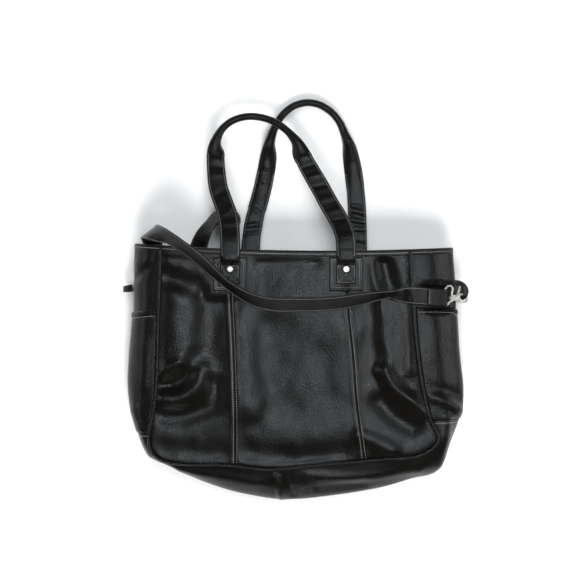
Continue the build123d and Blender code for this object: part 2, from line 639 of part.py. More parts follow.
def hook_pin():
    """Pin that the trigger turns on."""
    with BuildPart() as pin:
        with BuildSketch(Plane.XY.offset(-CLAW_THICK / 2)):
            with Locations(PIVOT):
                Circle(PIN_RADIUS)
        extrude(amount=CLAW_THICK)
    return pin.part


def hook_spring():
    """Closed turns of the trigger's torsion spring, as one ring round the pin."""
    with BuildPart() as spring:
        with BuildSketch(Plane.XY.offset(SPRING_Z[0])):
            with Locations(PIVOT):
                Circle(SPRING_RADII[1])
                Circle(SPRING_RADII[0], mode=Mode.SUBTRACT)
        extrude(amount=SPRING_Z[1] - SPRING_Z[0])
    return spring.part


right_frame = Plane(origin=RIGHT_HOOK_AT, x_dir=RIGHT_HOOK_X, z_dir=RIGHT_HOOK_Z)
left_frame = Plane(origin=LEFT_HOOK_AT, x_dir=LEFT_HOOK_X, z_dir=LEFT_HOOK_Z)
for side, hook_frame in (("right", right_frame), ("left", left_frame)):
    for part_name, shape in (
        ("hook_eye", hook_eye()),
        ("hook_claw", hook_claw()),
        ("hook_trigger", hook_trigger()),
        ("hook_pin", hook_pin()),
        ("hook_spring", hook_spring()),
    ):
        with BuildPart() as placed:
            with Locations(hook_frame.location):
                add(shape)
        finish_piece(f"{side}_{part_name}", placed)

# ---- shoulder strap and side loops --------------------------------------------------------
strap_centres = [Vector(*station[:3]) for station in STRAP_ROUTE]
strap_across = [Vector(*station[3:]) for station in STRAP_ROUTE]
strap_planes = station_planes(strap_centres, strap_across)
count = len(STRAP_ROUTE)
with BuildPart() as shoulder_strap:
    add(band_loft(strap_planes, [STRAP_WIDTH] * count, [STRAP_THICK] * count))
    for hook_frame in (right_frame, left_frame):
        fold_plane = Plane(
            origin=hook_frame.from_local_coords((0, STRAP_LOOP_Y[0], 0)),
            z_dir=hook_frame.y_dir,
        )
        fold_length = STRAP_LOOP_Y[1] - STRAP_LOOP_Y[0]
        with BuildSketch(fold_plane):
            Circle(STRAP_LOOP_RADIUS)
        extrude(amount=fold_length)
        with BuildSketch(fold_plane.offset(-STRAP_LOOP_BORE_RUN)):
            Circle(STRAP_LOOP_BORE)
        extrude(amount=fold_length + 2 * STRAP_LOOP_BORE_RUN, mode=Mode.SUBTRACT)
finish_piece("shoulder_strap", shoulder_strap)

for name, stations in (("right_side_loop", RIGHT_LOOP), ("left_side_loop", LEFT_LOOP)):
    centres = [Vector(*station[:3]) for station in stations]
    across = [Vector(*station[3:6]) for station in stations]
    planes = station_planes(centres, across)
    widths = [station[6] for station in stations]
    cut_piece(name, band_loft(planes, widths, [LOOP_THICK] * len(stations)))
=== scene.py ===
"""Looks of a black leather diaper tote lying on its back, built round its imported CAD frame.

Shapes are worked out in millimetres in the CAD frame, and turned into metres as they are made:
X across the bag, Y from the bottom towards the handles, Z up out of the front panel.
"""
import math
import bpy
import bmesh
import numpy as np
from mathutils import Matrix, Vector


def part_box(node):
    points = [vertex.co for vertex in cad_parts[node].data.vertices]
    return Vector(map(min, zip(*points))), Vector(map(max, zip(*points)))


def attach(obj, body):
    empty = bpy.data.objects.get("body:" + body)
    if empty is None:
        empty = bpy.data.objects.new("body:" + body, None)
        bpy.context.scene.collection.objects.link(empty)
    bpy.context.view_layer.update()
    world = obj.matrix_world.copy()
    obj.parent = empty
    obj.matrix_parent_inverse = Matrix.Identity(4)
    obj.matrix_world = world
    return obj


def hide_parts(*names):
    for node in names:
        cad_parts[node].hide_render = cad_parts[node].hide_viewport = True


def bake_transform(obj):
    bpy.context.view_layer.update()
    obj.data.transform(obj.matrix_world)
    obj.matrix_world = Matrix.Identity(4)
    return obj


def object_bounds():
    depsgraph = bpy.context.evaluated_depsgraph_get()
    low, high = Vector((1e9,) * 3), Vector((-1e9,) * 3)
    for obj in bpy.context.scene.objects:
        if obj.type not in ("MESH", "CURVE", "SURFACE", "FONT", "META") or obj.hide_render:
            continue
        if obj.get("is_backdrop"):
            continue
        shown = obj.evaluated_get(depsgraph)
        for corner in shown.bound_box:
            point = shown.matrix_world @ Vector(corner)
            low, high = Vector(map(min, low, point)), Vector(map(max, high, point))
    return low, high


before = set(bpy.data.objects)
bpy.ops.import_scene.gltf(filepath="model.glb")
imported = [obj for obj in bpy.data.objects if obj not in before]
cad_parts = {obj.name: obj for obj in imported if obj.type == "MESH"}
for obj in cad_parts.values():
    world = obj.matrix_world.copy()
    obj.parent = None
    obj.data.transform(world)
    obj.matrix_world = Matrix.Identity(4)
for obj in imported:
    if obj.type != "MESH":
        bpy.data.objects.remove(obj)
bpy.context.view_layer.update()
MM = 0.001
rng = np.random.default_rng(11)


# ---- numbers and curves ----
def smoothstep(low, high, value):
    """0 below low, 1 above high and a smooth turn between them."""
    t = np.clip((np.asarray(value, float) - low) / (high - low), 0, 1)
    return t * t * (3 - 2 * t)


def bump(value, width):
    """A soft bump of height 1 round zero."""
    return np.exp(-(np.asarray(value, float) / width) ** 2)


def unit(vectors):
    """Vectors scaled to length 1."""
    length = np.linalg.norm(vectors, axis=-1, keepdims=True)
    return vectors / np.maximum(length, 1e-9)


def lengths(path):
    """Distance along a path at each of its points."""
    steps = np.linalg.norm(np.diff(path, axis=0), axis=1)
    return np.concatenate([[0], np.cumsum(steps)])


def sample(line, at, where):
    """A line whose points stand at the distances at, read off at the distances where."""
    return np.stack([np.interp(where, at, column) for column in line.T], axis=-1)


def spaced(line, count):
    """A dense line taken again at evenly spaced points."""
    line = np.asarray(line, float)
    at = lengths(line)
    return sample(line, at, np.linspace(0, at[-1], count))


def smoothed(loop, times):
    """A closed loop of points, evened out."""
    for _ in range(times):
        loop = 0.25 * np.roll(loop, 1, axis=0) + 0.5 * loop + 0.25 * np.roll(loop, -1, axis=0)
    return loop


def stretches(keep):
    """Where each unbroken stretch of true values starts and stops."""
    turns = np.flatnonzero(np.diff(np.concatenate([[0], keep.astype(int), [0]])))
    return zip(turns[::2], turns[1::2])


def curve(points, count, knots=None, span=(0, 1)):
    """Points on a smooth line through the given ones, evenly spread between two shares of it."""
    points = np.array(points, float)
    if knots is None:
        knots = lengths(points[:, :3])
    tangents = np.gradient(points, knots, axis=0)
    where = knots[-1] * np.linspace(span[0], span[1], count)
    i = np.clip(np.searchsorted(knots, where, side="right") - 1, 0, len(knots) - 2)
    h = (knots[i + 1] - knots[i])[:, None]
    t = (where - knots[i])[:, None] / h
    return (
        (2 * t**3 - 3 * t**2 + 1) * points[i] + (t**3 - 2 * t**2 + t) * h * tangents[i]
        + (3 * t**2 - 2 * t**3) * points[i + 1] + (t**3 - t**2) * h * tangents[i + 1]
    )


def distance_to(line, x, y):
    """Distance in plan from every point (x, y) to a line of close points."""
    flat = np.stack([np.ravel(x), np.ravel(y)], axis=-1)
    best = np.full(len(flat), 1e9)
    for point in np.asarray(line)[:, :2]:
        best = np.minimum(best, ((flat - point) ** 2).sum(axis=1))
    return np.sqrt(best).reshape(np.shape(x))


WAVES = 14
waves = []
for _ in range(WAVES):
    turn = rng.uniform(0, 2 * math.pi)
    waves.append((math.cos(turn), math.sin(turn), rng.uniform(0.6, 1.8), rng.uniform(0, 6.28)))


def ripple(x, y, size):
    """Slow uneven waves between about -1 and 1, each about size across."""
    total = 0
    for cx, cy, pace, phase in waves:
        total = total + np.sin((cx * x + cy * y) * pace * 2 * math.pi / size + phase)
    return total / 5


# ---- meshes ----
def make(name, verts, faces, material, body="bag", slot=None, replaces=()):
    """A smooth mesh object from points in millimetres, riding on a body."""
    mesh = bpy.data.meshes.new(name)
    mesh.from_pydata((np.reshape(verts, (-1, 3)) * MM).tolist(), [], faces)
    work = bmesh.new()
    work.from_mesh(mesh)
    bmesh.ops.recalc_face_normals(work, faces=work.faces)
    work.to_mesh(mesh)
    work.free()
    mesh.shade_smooth()
    mesh.materials.append(material)
    obj = bpy.data.objects.new(name, mesh)
    bpy.context.scene.collection.objects.link(obj)
    if body:
        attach(obj, body)
    if replaces:
        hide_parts(*replaces)
    return obj


def quads(rows, cols, close_rows=False, close_cols=False, start=0):
    """Faces of a grid of points, closed round either way if asked."""
    r = np.arange(rows if close_rows else rows - 1)
    c = np.arange(cols if close_cols else cols - 1)
    r, c = np.meshgrid(r, c, indexing="ij")
    r2, c2 = (r + 1) % rows, (c + 1) % cols
    corners = [r * cols + c, r * cols + c2, r2 * cols + c2, r2 * cols + c]
    return (np.stack(corners, axis=-1).reshape(-1, 4) + start).tolist()


def sheet(name, top, bottom, material, **options):
    """A closed sheet between two grids of points of the same size."""
    rows, cols = top.shape[:2]
    count = rows * cols
    edge = list(range(cols)) + [r * cols + cols - 1 for r in range(1, rows)]
    edge += [count - 1 - c for c in range(1, cols)]
    edge += [r * cols for r in range(rows - 2, 0, -1)]
    faces = quads(rows, cols) + [f[::-1] for f in quads(rows, cols, start=count)]
    for a, b in zip(edge, edge[1:] + edge[:1]):
        faces.append([b, a, a + count, b + count])
    verts = np.concatenate([top.reshape(-1, 3), bottom.reshape(-1, 3)])
    return make(name, verts, faces, material, **options)


def loft(name, rings, material, close=False, **options):
    """A skin over a row of closed rings, with its ends capped unless it closes on itself."""
    rows, cols = rings.shape[:2]
    faces = quads(rows, cols, close_rows=close, close_cols=True)
    if not close:
        faces += [list(range(cols)), list(range((rows - 1) * cols, rows * cols))]
    return make(name, rings, faces, material, **options)


def panel(name, top, bottom, material=None):
    """A sheet of leather in place of the CAD part of that name."""
    sheet(f"{name}_leather", top, bottom, material or shell, slot="shell_leather", replaces=[name])


def path_frame(path, across):
    """Direction across a path and out of it, at each of its points."""
    along = unit(np.gradient(path, axis=0))
    across = unit(across - along * (across * along).sum(axis=1, keepdims=True))
    return across, np.cross(along, across)


FLATS, ARCS = 30, 6       # points across each face of a strap's section, and round each edge
STITCH_INSET = 2.3


def strap_section(width, thick, flats=FLATS, arcs=ARCS):
    """A strap's closed section with round edges: each point's place across it and out of it."""
    r = thick / 2
    flat = max(width / 2 - r, 0.02)
    x = np.linspace(flat, -flat, flats)
    turn = np.linspace(0, math.pi, arcs + 2)[1:-1]
    across = np.concatenate([x, -flat - r * np.sin(turn), -x, flat + r * np.sin(turn)])
    out = np.concatenate([np.full(flats, r), r * np.cos(turn), np.full(flats, -r), -r * np.cos(turn)])
    return across, out


def band(path, across, width, thick, pillow, groove=0.0, creases=(), flats=FLATS, arcs=ARCS):
    """Rings of a flat strap with round edges; groove presses its two stitch rows in."""
    across, out = path_frame(path, across)
    length = lengths(path)
    width, thick = np.broadcast_to(width, len(path)), np.broadcast_to(thick, len(path))
    rings = []
    for i, point in enumerate(path):
        xs, ys = strap_section(width[i], thick[i], flats, arcs)
        share = np.clip(np.abs(xs) / (width[i] / 2), 0, 1)
        flatness = float(smoothstep(1.6, 3.0, width[i] / thick[i]))
        ys = ys * (1 - pillow * flatness * share**2)
        row = width[i] / 2 - STITCH_INSET
        ys = ys * (1 - groove * flatness * bump(np.abs(xs) - row, 0.7))
        for where, slant, size, depth in creases:
            shift = depth * bump(length[i] - where - slant * xs, size)
            ys = ys + shift * np.sign(ys + 1e-6) * (ys > 0)
        rings.append(point + across[i] * xs[:, None] + out[i] * ys[:, None])
    return np.array(rings)


# a stitch's rings: place along it, thickness and lift, as shares of its length and girth
STITCH_SHAPE = [
    (-0.5, 0.1, -0.5), (-0.38, 0.75, -0.1), (0, 1.0, 0.12), (0.38, 0.75, -0.1), (0.5, 0.1, -0.5),
]
STITCH_SIDES = 6
STITCH_SWAY = 0.12        # hand-guided stitches land this far off their pitch
STITCH_FLATNESS = 0.8


def stitches(name, rows, body="bag", pitch=3.3, size=2.2, girth=0.34):
    """Short raised stitches along rows of (points, outward directions)."""
    rings, sides = len(STITCH_SHAPE), STITCH_SIDES
    turn = np.arange(sides)[:, None] * 2 * math.pi / sides
    template = quads(rings, sides, close_cols=True)
    template += [list(range(sides)), list(range((rings - 1) * sides, rings * sides))]
    verts, faces = [], []
    for points, outward in rows:
        at = lengths(points)
        for middle in np.arange(pitch / 2, at[-1], pitch):
            middle = middle + rng.uniform(-STITCH_SWAY, STITCH_SWAY)
            a, b = sample(points, at, [middle - size / 2, middle + size / 2])
            out = unit(sample(outward, at, middle))
            along = unit(b - a)
            side = unit(np.cross(out, along))
            out = np.cross(along, side)
            spread = side * np.cos(turn) + out * np.sin(turn) * STITCH_FLATNESS
            start = len(verts) * rings * sides
            verts.append(np.concatenate([
                (a + b) / 2 + along * size * share + out * girth * lift + spread * girth * wide
                for share, wide, lift in STITCH_SHAPE
            ]))
            faces += [[v + start for v in f] for f in template]
    return make(name, np.array(verts), faces, thread, body=body)


# ---- materials ----
def nodes_for(name):
    """A new material, its node tree and its main shader."""
    material = bpy.data.materials.new(name)
    material.use_nodes = True
    tree = material.node_tree
    return material, tree, tree.nodes["Principled BSDF"]


def node(tree, kind, links=(), **settings):
    """A node with its inputs set or linked; each link is (input, value or output socket)."""
    made = tree.nodes.new(kind)
    for key, value in settings.items():
        setattr(made, key, value)
    for key, value in links:
        if isinstance(value, bpy.types.NodeSocket):
            tree.links.new(value, made.inputs[key])
        else:
            made.inputs[key].default_value = value
    return made


def give(shader, values):
    """Set a shader's plain inputs."""
    for key, value in values.items():
        shader.inputs[key].default_value = value


def noise(tree, place, scale, detail):
    """Noise between 0 and 1, scale to the metre."""
    links = [("Vector", place), ("Scale", scale), ("Detail", detail)]
    return node(tree, "ShaderNodeTexNoise", links).outputs["Fac"]


def ramp(tree, source, low, high):
    """A colour that runs between two (value, colour) stops."""
    made = node(tree, "ShaderNodeValToRGB", [("Fac", source)])
    for element, (place, colour) in zip(made.color_ramp.elements, (low, high)):
        element.position, element.color = place, (*colour, 1)
    return made.outputs["Color"]


def uneven(tree, shader, source, low, high, rough):
    """Roughness that follows a value between low and high from rough[0] to rough[1]."""
    links = [("Value", source), (1, low), (2, high), (3, rough[0]), (4, rough[1])]
    made = node(tree, "ShaderNodeMapRange", links)
    tree.links.new(made.outputs[0], shader.inputs["Roughness"])


def relief(tree, shader, layers):
    """Bumps laid one over another; each layer is (height, strength, distance)."""
    below = []
    for height, strength, distance in layers:
        links = [("Height", height), ("Strength", strength), ("Distance", distance)]
        below = [("Normal", node(tree, "ShaderNodeBump", links + below).outputs["Normal"])]
    tree.links.new(below[0][1], shader.inputs["Normal"])


WEAR, WORN_COLOUR = 0.25, (0.018, 0.016, 0.0145, 1)


def leather(name, dark, light, rough=(0.27, 0.36), grain=580):
    """Black grained leather: pebbles, slow unevenness, worn edges and a soft finish."""
    material, tree, shader = nodes_for(name)
    place = node(tree, "ShaderNodeTexCoord").outputs["Object"]
    slow, patchy = noise(tree, place, 14.0, 4.0), noise(tree, place, 90.0, 6.0)
    pebbles = node(tree, "ShaderNodeTexVoronoi", [("Vector", place), ("Scale", grain)])
    pores = noise(tree, place, grain * 2.3, 2.0)
    tone = ramp(tree, slow, (0.3, dark), (0.7, light))
    pointed = node(tree, "ShaderNodeNewGeometry").outputs["Pointiness"]
    edge = ramp(tree, pointed, (0.5, (0, 0, 0)), (0.62, (WEAR, WEAR, WEAR)))
    worn = node(tree, "ShaderNodeMix", [(0, edge), (6, tone), (7, WORN_COLOUR)], data_type="RGBA")
    tree.links.new(worn.outputs[2], shader.inputs["Base Color"])
    uneven(tree, shader, patchy, 0.3, 0.7, rough)
    give(shader, {"Specular IOR Level": 0.42, "Coat Weight": 0.1, "Coat Roughness": 0.28})
    relief(tree, shader, [
        (patchy, 0.12, 0.0012), (pores, 0.25, 0.00015), (pebbles.outputs["Distance"], 0.6, 0.0004),
    ])
    return material


def metal(name, colour, rough, scratch=0.0001):
    """Plated or plain metal with faint scratches and uneven polish."""
    material, tree, shader = nodes_for(name)
    place = node(tree, "ShaderNodeTexCoord").outputs["Object"]
    cloud, fine = noise(tree, place, 240.0, 6.0), noise(tree, place, 1900.0, 3.0)
    dull = tuple(0.72 * c for c in colour)
    tree.links.new(ramp(tree, cloud, (0.32, dull), (0.6, colour)), shader.inputs["Base Color"])
    uneven(tree, shader, cloud, 0.3, 0.75, (rough, rough + 0.16))
    give(shader, {"Metallic": 0.7})
    relief(tree, shader, [(fine, 0.3, scratch)])
    return material


def woven(name, dark, light, threads, rough=0.85, sheen=0.3):
    """Plain weave from two crossing sets of threads, in plan and on the sides."""
    material, tree, shader = nodes_for(name)
    place = node(tree, "ShaderNodeTexCoord").outputs["Object"]
    settings = [
        ("Vector", place), ("Scale", threads), ("Distortion", 1.2), ("Detail", 2.0), ("Detail Scale", 3.0),
    ]
    warp, weft = (
        node(tree, "ShaderNodeTexWave", settings, bands_direction=axis).outputs["Fac"] for axis in "XY"
    )
    crossing = node(tree, "ShaderNodeMath", [(0, warp), (1, weft)], operation="MULTIPLY").outputs[0]
    slow = noise(tree, place, 40.0, 5.0)
    mixed = node(tree, "ShaderNodeMath", [(0, crossing), (1, slow)], operation="ADD").outputs[0]
    tree.links.new(ramp(tree, mixed, (0.35, dark), (1.0, light)), shader.inputs["Base Color"])
    give(shader, {"Roughness": rough, "Sheen Weight": sheen})
    relief(tree, shader, [(crossing, 0.6, 0.0003)])
    return material


shell = leather("shell_leather", (0.0021, 0.0016, 0.0011), (0.0036, 0.0031, 0.0026))
strap_leather = leather("strap_leather", (0.0020, 0.0016, 0.0011), (0.0034, 0.0030, 0.0025), grain=700)
binding = leather("binding_leather", (0.0026, 0.0020, 0.0015), (0.0044, 0.0038, 0.0032), grain=800)
piping_leather = leather("piping_leather", (0.0020, 0.0016, 0.0012), (0.0034, 0.0029, 0.0025), (0.24, 0.36))
inside = woven("lining_fabric", (0.010, 0.0088, 0.008), (0.035, 0.030, 0.027), 420.0)
thread = woven("thread", (0.22, 0.215, 0.21), (0.54, 0.53, 0.51), 900.0, rough=0.7, sheen=0.2)
cord_foam = woven("handle_cord", (0.45, 0.43, 0.38), (0.75, 0.72, 0.66), 500.0)
nickel = metal("polished_nickel", (0.95, 0.92, 0.84), 0.26)
steel = metal("plain_steel", (0.52, 0.52, 0.51), 0.3, 0.0002)


# ---- outlines of the body, as the CAD frame has them ----
BACK_OUTLINE = [
    (-176, 85), (-178, -20), (-180, -149), (-180, -178), (-172, -198), (-155, -207), (-85, -211),
    (-30, -213), (30, -213), (112, -209), (150, -204), (168, -188), (172, -150), (168, -60),
    (165, 25), (163, 85),
]
FOLD_OUTLINE = [
    (-210.5, 85), (-212.5, -20), (-213.5, -146), (-205, -174), (-189, -209), (-164, -223),
    (-85, -250), (-27, -261.5), (40, -258), (148, -236), (186, -222), (199, -193),
    (215, -148), (211, -56), (207.5, 25), (205, 85),
]
FRONT_OUTLINE = [
    (-175.5, 85), (-178.5, -20), (-185, -149), (-190, -175), (-189, -196), (-177, -209),
    (-85, -216.5), (-36, -221.5), (30, -215.5), (112, -208.5), (160, -203.5), (183, -187),
    (172, -152), (157, -70), (150, 20), (148, 85),
]
LEFT_SEAM = [(-85.5, 95), (-85.5, 30), (-81, -77), (-79, -150), (-79, -225)]
RIGHT_SEAM = [(65, 95), (65, 30), (68, -20), (74, -77), (78, -130), (88, -207), (90, -225)]
FRONT_Z, FOLD_Z, BACK_Z = 55.2, 32.0, 12.6
PATCH_Y, RIVET_Y, RIM_Y = 31.5, 38.0, 62.5
FRONT_HANDLE_X = (-85.5, 65.0)
REAR_HANDLE_X = (-59.8, 80.6)
TUCK = 4.0                # the shell stops this far under the rim line, inside the binding


def rim(x):
    """The rim line, a shallow sag across the bag."""
    return RIM_Y + 1.587e-4 * (x + 10) ** 2 - 0.0157 * (x + 10)


def cut_at_rim(outline):
    """An outline whose two ends stop just under the rim."""
    points = np.array(outline, float)
    points[[0, -1], 1] = rim(points[[0, -1], 0]) - TUCK
    return points


WALL_POINTS = 361
fold_knots = lengths(cut_at_rim(FOLD_OUTLINE))
front_line, fold_line, back_line = (
    curve(cut_at_rim(o), WALL_POINTS, fold_knots) for o in (FRONT_OUTLINE, FOLD_OUTLINE, BACK_OUTLINE)
)


def seam_line(points):
    """A function that gives a seam's x at any y."""
    line = curve(points, 240)[::-1]
    return lambda y: np.interp(y, line[:, 1], line[:, 0])


left_seam_x, right_seam_x = seam_line(LEFT_SEAM), seam_line(RIGHT_SEAM)

# folds of the front panels: line, height and half width; a negative height is a dent
FRONT_FOLDS = [
    # left panel
    ([(-176, 50), (-150, 44), (-122, 34)], 2.2, 13),
    ([(-172, 28), (-150, 20), (-126, 8)], -2.6, 12),
    ([(-160, 6), (-158, -35), (-155, -62)], 1.2, 12),
    ([(-178, -98), (-164, -89), (-152, -84)], 2.8, 9),
    ([(-174, -113), (-163, -113)], -3.8, 9),
    ([(-182, -130), (-163, -132), (-142, -125), (-128, -110), (-121, -92)], 5.0, 12.5),
    ([(-148, -106), (-140, -101)], -3.4, 11),
    ([(-178, -150), (-150, -153), (-122, -146)], -3.4, 13),
    ([(-105, -112), (-104, -138)], -3.6, 13),
    ([(-170, -196), (-130, -201), (-95, -204)], -2.2, 14),
    # middle panel
    ([(34, -72), (40, -122)], -1.6, 17),
    ([(-60, -199), (0, -207), (60, -201)], -3.0, 15),
    ([(-50, 47), (-10, 51), (36, 47)], -1.6, 11),
    ([(-40, 24), (-42, 8)], -1.2, 14),
    # right panel
    ([(146, -18), (147, -60), (148, -92)], 1.4, 9),
    ([(112, -94), (124, -113), (146, -130), (166, -144)], 5.6, 9.5),
    ([(110, -134), (126, -151), (150, -167)], -4.6, 13),
    ([(84, -178), (104, -186), (124, -198)], 3.6, 11),
    ([(112, 54), (118, 30), (122, 12)], -4.2, 12),
    ([(100, 52), (100, 30), (99, 14)], 1.6, 9),
]
# places where the leather steps down: a line, how much higher its left side is, half width
FRONT_STEPS = [
    ([(-125, 16), (-128, -60), (-138, -96)], 10.0, 15),
    ([(-56, -22), (-52, -90), (-42, -152)], 8.0, 16),
    ([(104, 14), (108, -60), (117, -112)], -6.6, 9),
]
FOLD_POINTS = 24
front_folds = [(curve(line, FOLD_POINTS), height, width) for line, height, width in FRONT_FOLDS]
front_edge = front_line[::2]
FRONT_SEAM_ROW = 2.3      # the front seams have a stitch row this far on each side


def folded(folds, x, y):
    """Height that a list of folds gives at every point."""
    return sum(height * bump(distance_to(line, x, y), width) for line, height, width in folds)


def front_height(x, y):
    """Height of the front panels, with their folds, seams and dents."""
    x, y = np.asarray(x, float), np.asarray(y, float)
    near = distance_to(front_edge, x, y)
    folds = folded(front_folds, x, y)
    for line, height, width in FRONT_STEPS:
        along = np.array(line, float)[::-1]
        off = (x - np.interp(y, along[:, 1], along[:, 0])) / width
        ends = smoothstep(along[0, 1] - 20, along[0, 1] + 15, y) * smoothstep(-20, 15, along[-1, 1] - y)
        folds = folds - 0.5 * height * np.tanh(off) * np.exp(-(off / 3.2) ** 2) * ends
    folds = folds + 0.5 * ripple(x, y, 95) + 0.2 * ripple(y, x, 31)
    # flat at the handle patches, the rim and the piping, and low under the shoulder strap
    for middle in FRONT_HANDLE_X:
        reach = np.maximum(np.abs(x - middle), np.abs(y - PATCH_Y)) - 23
        folds = folds * smoothstep(0, 16, reach)
    folds = folds * smoothstep(0, 12, rim(x) - 6 - y) * (0.35 + 0.65 * smoothstep(0, 12, near))
    under_strap = bump(y + 6, 15) * smoothstep(-95, -60, x)
    folds = np.where(folds > 1.2, 1.2 + (folds - 1.2) * (1 - under_strap), folds)
    height = FRONT_Z + 0.9 * (1 - bump(near, 6)) - 1.0 * bump(near, 2.2) + folds
    for seam in (left_seam_x, right_seam_x):
        off = np.abs(x - seam(y))
        height = height - 0.8 * bump(off, 0.9) + 0.35 * bump(off - 4.6, 2.4)
        height = height - 0.22 * bump(off - FRONT_SEAM_ROW, 0.6)
    return height


def on_front(x, y, lift):
    """A plan line laid just over the front panels, and the way out of them."""
    near = 0.6
    slope_x = (front_height(x + near, y) - front_height(x - near, y)) / (2 * near)
    slope_y = (front_height(x, y + near) - front_height(x, y - near)) / (2 * near)
    out = unit(np.stack([-slope_x, -slope_y, np.ones_like(x)], axis=-1))
    return np.stack([x, y, front_height(x, y)], axis=-1) + out * lift, out


def coons(left, right, bottom, top):
    """A grid between four plan curves; rows run from bottom to top, columns from left to right."""
    v = np.linspace(0, 1, len(left))[:, None, None]
    u = np.linspace(0, 1, len(bottom))[None, :, None]
    corners = (
        (1 - u) * (1 - v) * bottom[0] + u * (1 - v) * bottom[-1]
        + (1 - u) * v * top[0] + u * v * top[-1]
    )
    sides = (1 - u) * left[:, None] + u * right[:, None]
    return sides + (1 - v) * bottom[None] + v * top[None] - corners


# ---- front panels ----
def nearest(line, x, y):
    """Index of a line's point nearest to a plan point."""
    return int(np.argmin(np.hypot(line[:, 0] - x, line[:, 1] - y)))


LEFT_CORNER, RIGHT_CORNER = nearest(front_line, -184, -203), nearest(front_line, 176, -196)
SHELL = 1.8                                # leather and backing
ROWS = 176


def seam_end(seam_x):
    """Where a seam meets the bottom edge: the index in the front line."""
    middle = range(LEFT_CORNER, RIGHT_CORNER)
    return min(middle, key=lambda i: abs(front_line[i, 0] - seam_x(front_line[i, 1])))


left_end, right_end = seam_end(left_seam_x), seam_end(right_seam_x)


def seam_side(seam_x, end):
    """The seam's plan line from the bottom edge up to the rim."""
    y = np.linspace(front_line[end, 1], rim(seam_x(60.0)) - TUCK, ROWS)
    return np.stack([seam_x(y), y], axis=-1)


def rim_side(x_low, x_high, count):
    """The panels' plan line along the rim."""
    x = np.linspace(x_low, x_high, count)
    return np.stack([x, rim(x) - TUCK], axis=-1)


left_edge = spaced(front_line[:LEFT_CORNER + 1][::-1], ROWS)
right_edge = spaced(front_line[RIGHT_CORNER:], ROWS)
left_seam_side, right_seam_side = seam_side(left_seam_x, left_end), seam_side(right_seam_x, right_end)
for name, left, right, first, last, cols in (
    ("front_left_panel", left_edge, left_seam_side, LEFT_CORNER, left_end, 76),
    ("front_center_panel", left_seam_side, right_seam_side, left_end, right_end, 104),
    ("front_right_panel", right_seam_side, right_edge, right_end, RIGHT_CORNER, 66),
):
    plan = coons(
        left, right, spaced(front_line[first:last + 1], cols), rim_side(left[-1, 0], right[-1, 0], cols)
    )
    height = front_height(plan[..., 0], plan[..., 1])
    panel(name, np.dstack([plan, height]), np.dstack([plan, height - SHELL]))


# ---- gussets, side pockets and bottom ----
# folds of the walls, on their upper half: line, height and half width
WALL_FOLDS = [
    ([(163, -127), (185, -131), (214, -146)], 3.6, 5.5),
    ([(168, -114), (190, -118), (210, -126)], -2.2, 7),
    ([(197, -156), (194, -188), (189, -218)], 3.4, 6),
    ([(176, -158), (180, -176)], -2.4, 6),
    ([(158, 3), (176, 2), (194, 1)], -2.6, 12),
    ([(-212, 26), (-196, 36), (-180, 46)], -1.8, 5),
    ([(-208, 44), (-192, 52)], 1.2, 7),
    ([(-196, -60), (-198, -110)], 1.4, 8),
    ([(-209, -146), (-202, -170), (-190, -202)], 2.4, 7),
    ([(16, -229), (70, -233), (160, -223)], 2.6, 6),
    ([(-150, -221), (-100, -231), (-50, -240)], 1.5, 6),
    ([(-26, -232), (-22, -246), (-18, -264)], 4.2, 4.5),
    ([(-10, -236), (-4, -250), (-2, -262)], -2.8, 6),
    ([(30, -246), (90, -240)], -1.8, 6),
]
wall_folds = [(curve(line, FOLD_POINTS), height, width) for line, height, width in WALL_FOLDS]
PROFILE_POINTS = 41
along_profile = np.linspace(0, 1, PROFILE_POINTS)


def wall_profile(i):
    """Points from the front edge over the wall's fold to the back edge, at one place."""
    front, fold, back = front_line[i], fold_line[i], back_line[i]
    reach = float(np.hypot(*(fold - front)))
    way = (fold - front) / reach
    hollow = float((back - front) @ way)      # how far out the back edge lies
    side = back - front - way * hollow
    points = curve(
        [(0.0, FRONT_Z - 0.8), (0.6 * reach, FRONT_Z - 6.0), (reach, FOLD_Z),
         (hollow + 0.52 * (reach - hollow), BACK_Z + 6.5), (hollow, BACK_Z)],
        PROFILE_POINTS,
    )
    share = np.interp(along_profile, [0, 0.5, 1], [0, 0.2, 1])[:, None]
    plan = front + way * points[:, :1] + side * share
    return np.column_stack([plan, points[:, 1]])


BAG_MIDDLE = np.array([-10, -70, 34])


def outward(grid):
    """Unit directions out of a grid surface, away from the bag's middle."""
    normal = unit(np.cross(np.gradient(grid, axis=0), np.gradient(grid, axis=1)))
    away = grid - BAG_MIDDLE
    return normal * np.where((normal * away).sum(axis=-1, keepdims=True) < 0, -1, 1)


wall = np.array([wall_profile(i) for i in range(WALL_POINTS)])
upper = smoothstep(FOLD_Z - 2, FOLD_Z + 10, wall[..., 2]) * smoothstep(0, 0.1, along_profile)
lift = 0.45 * ripple(wall[..., 0] + wall[..., 2], wall[..., 1], 60)
lift = lift + upper * folded(wall_folds, wall[..., 0], wall[..., 1])
ends = np.sin(np.linspace(0, math.pi, PROFILE_POINTS)) ** 0.6
wall = wall + outward(wall) * (lift * ends)[..., None]
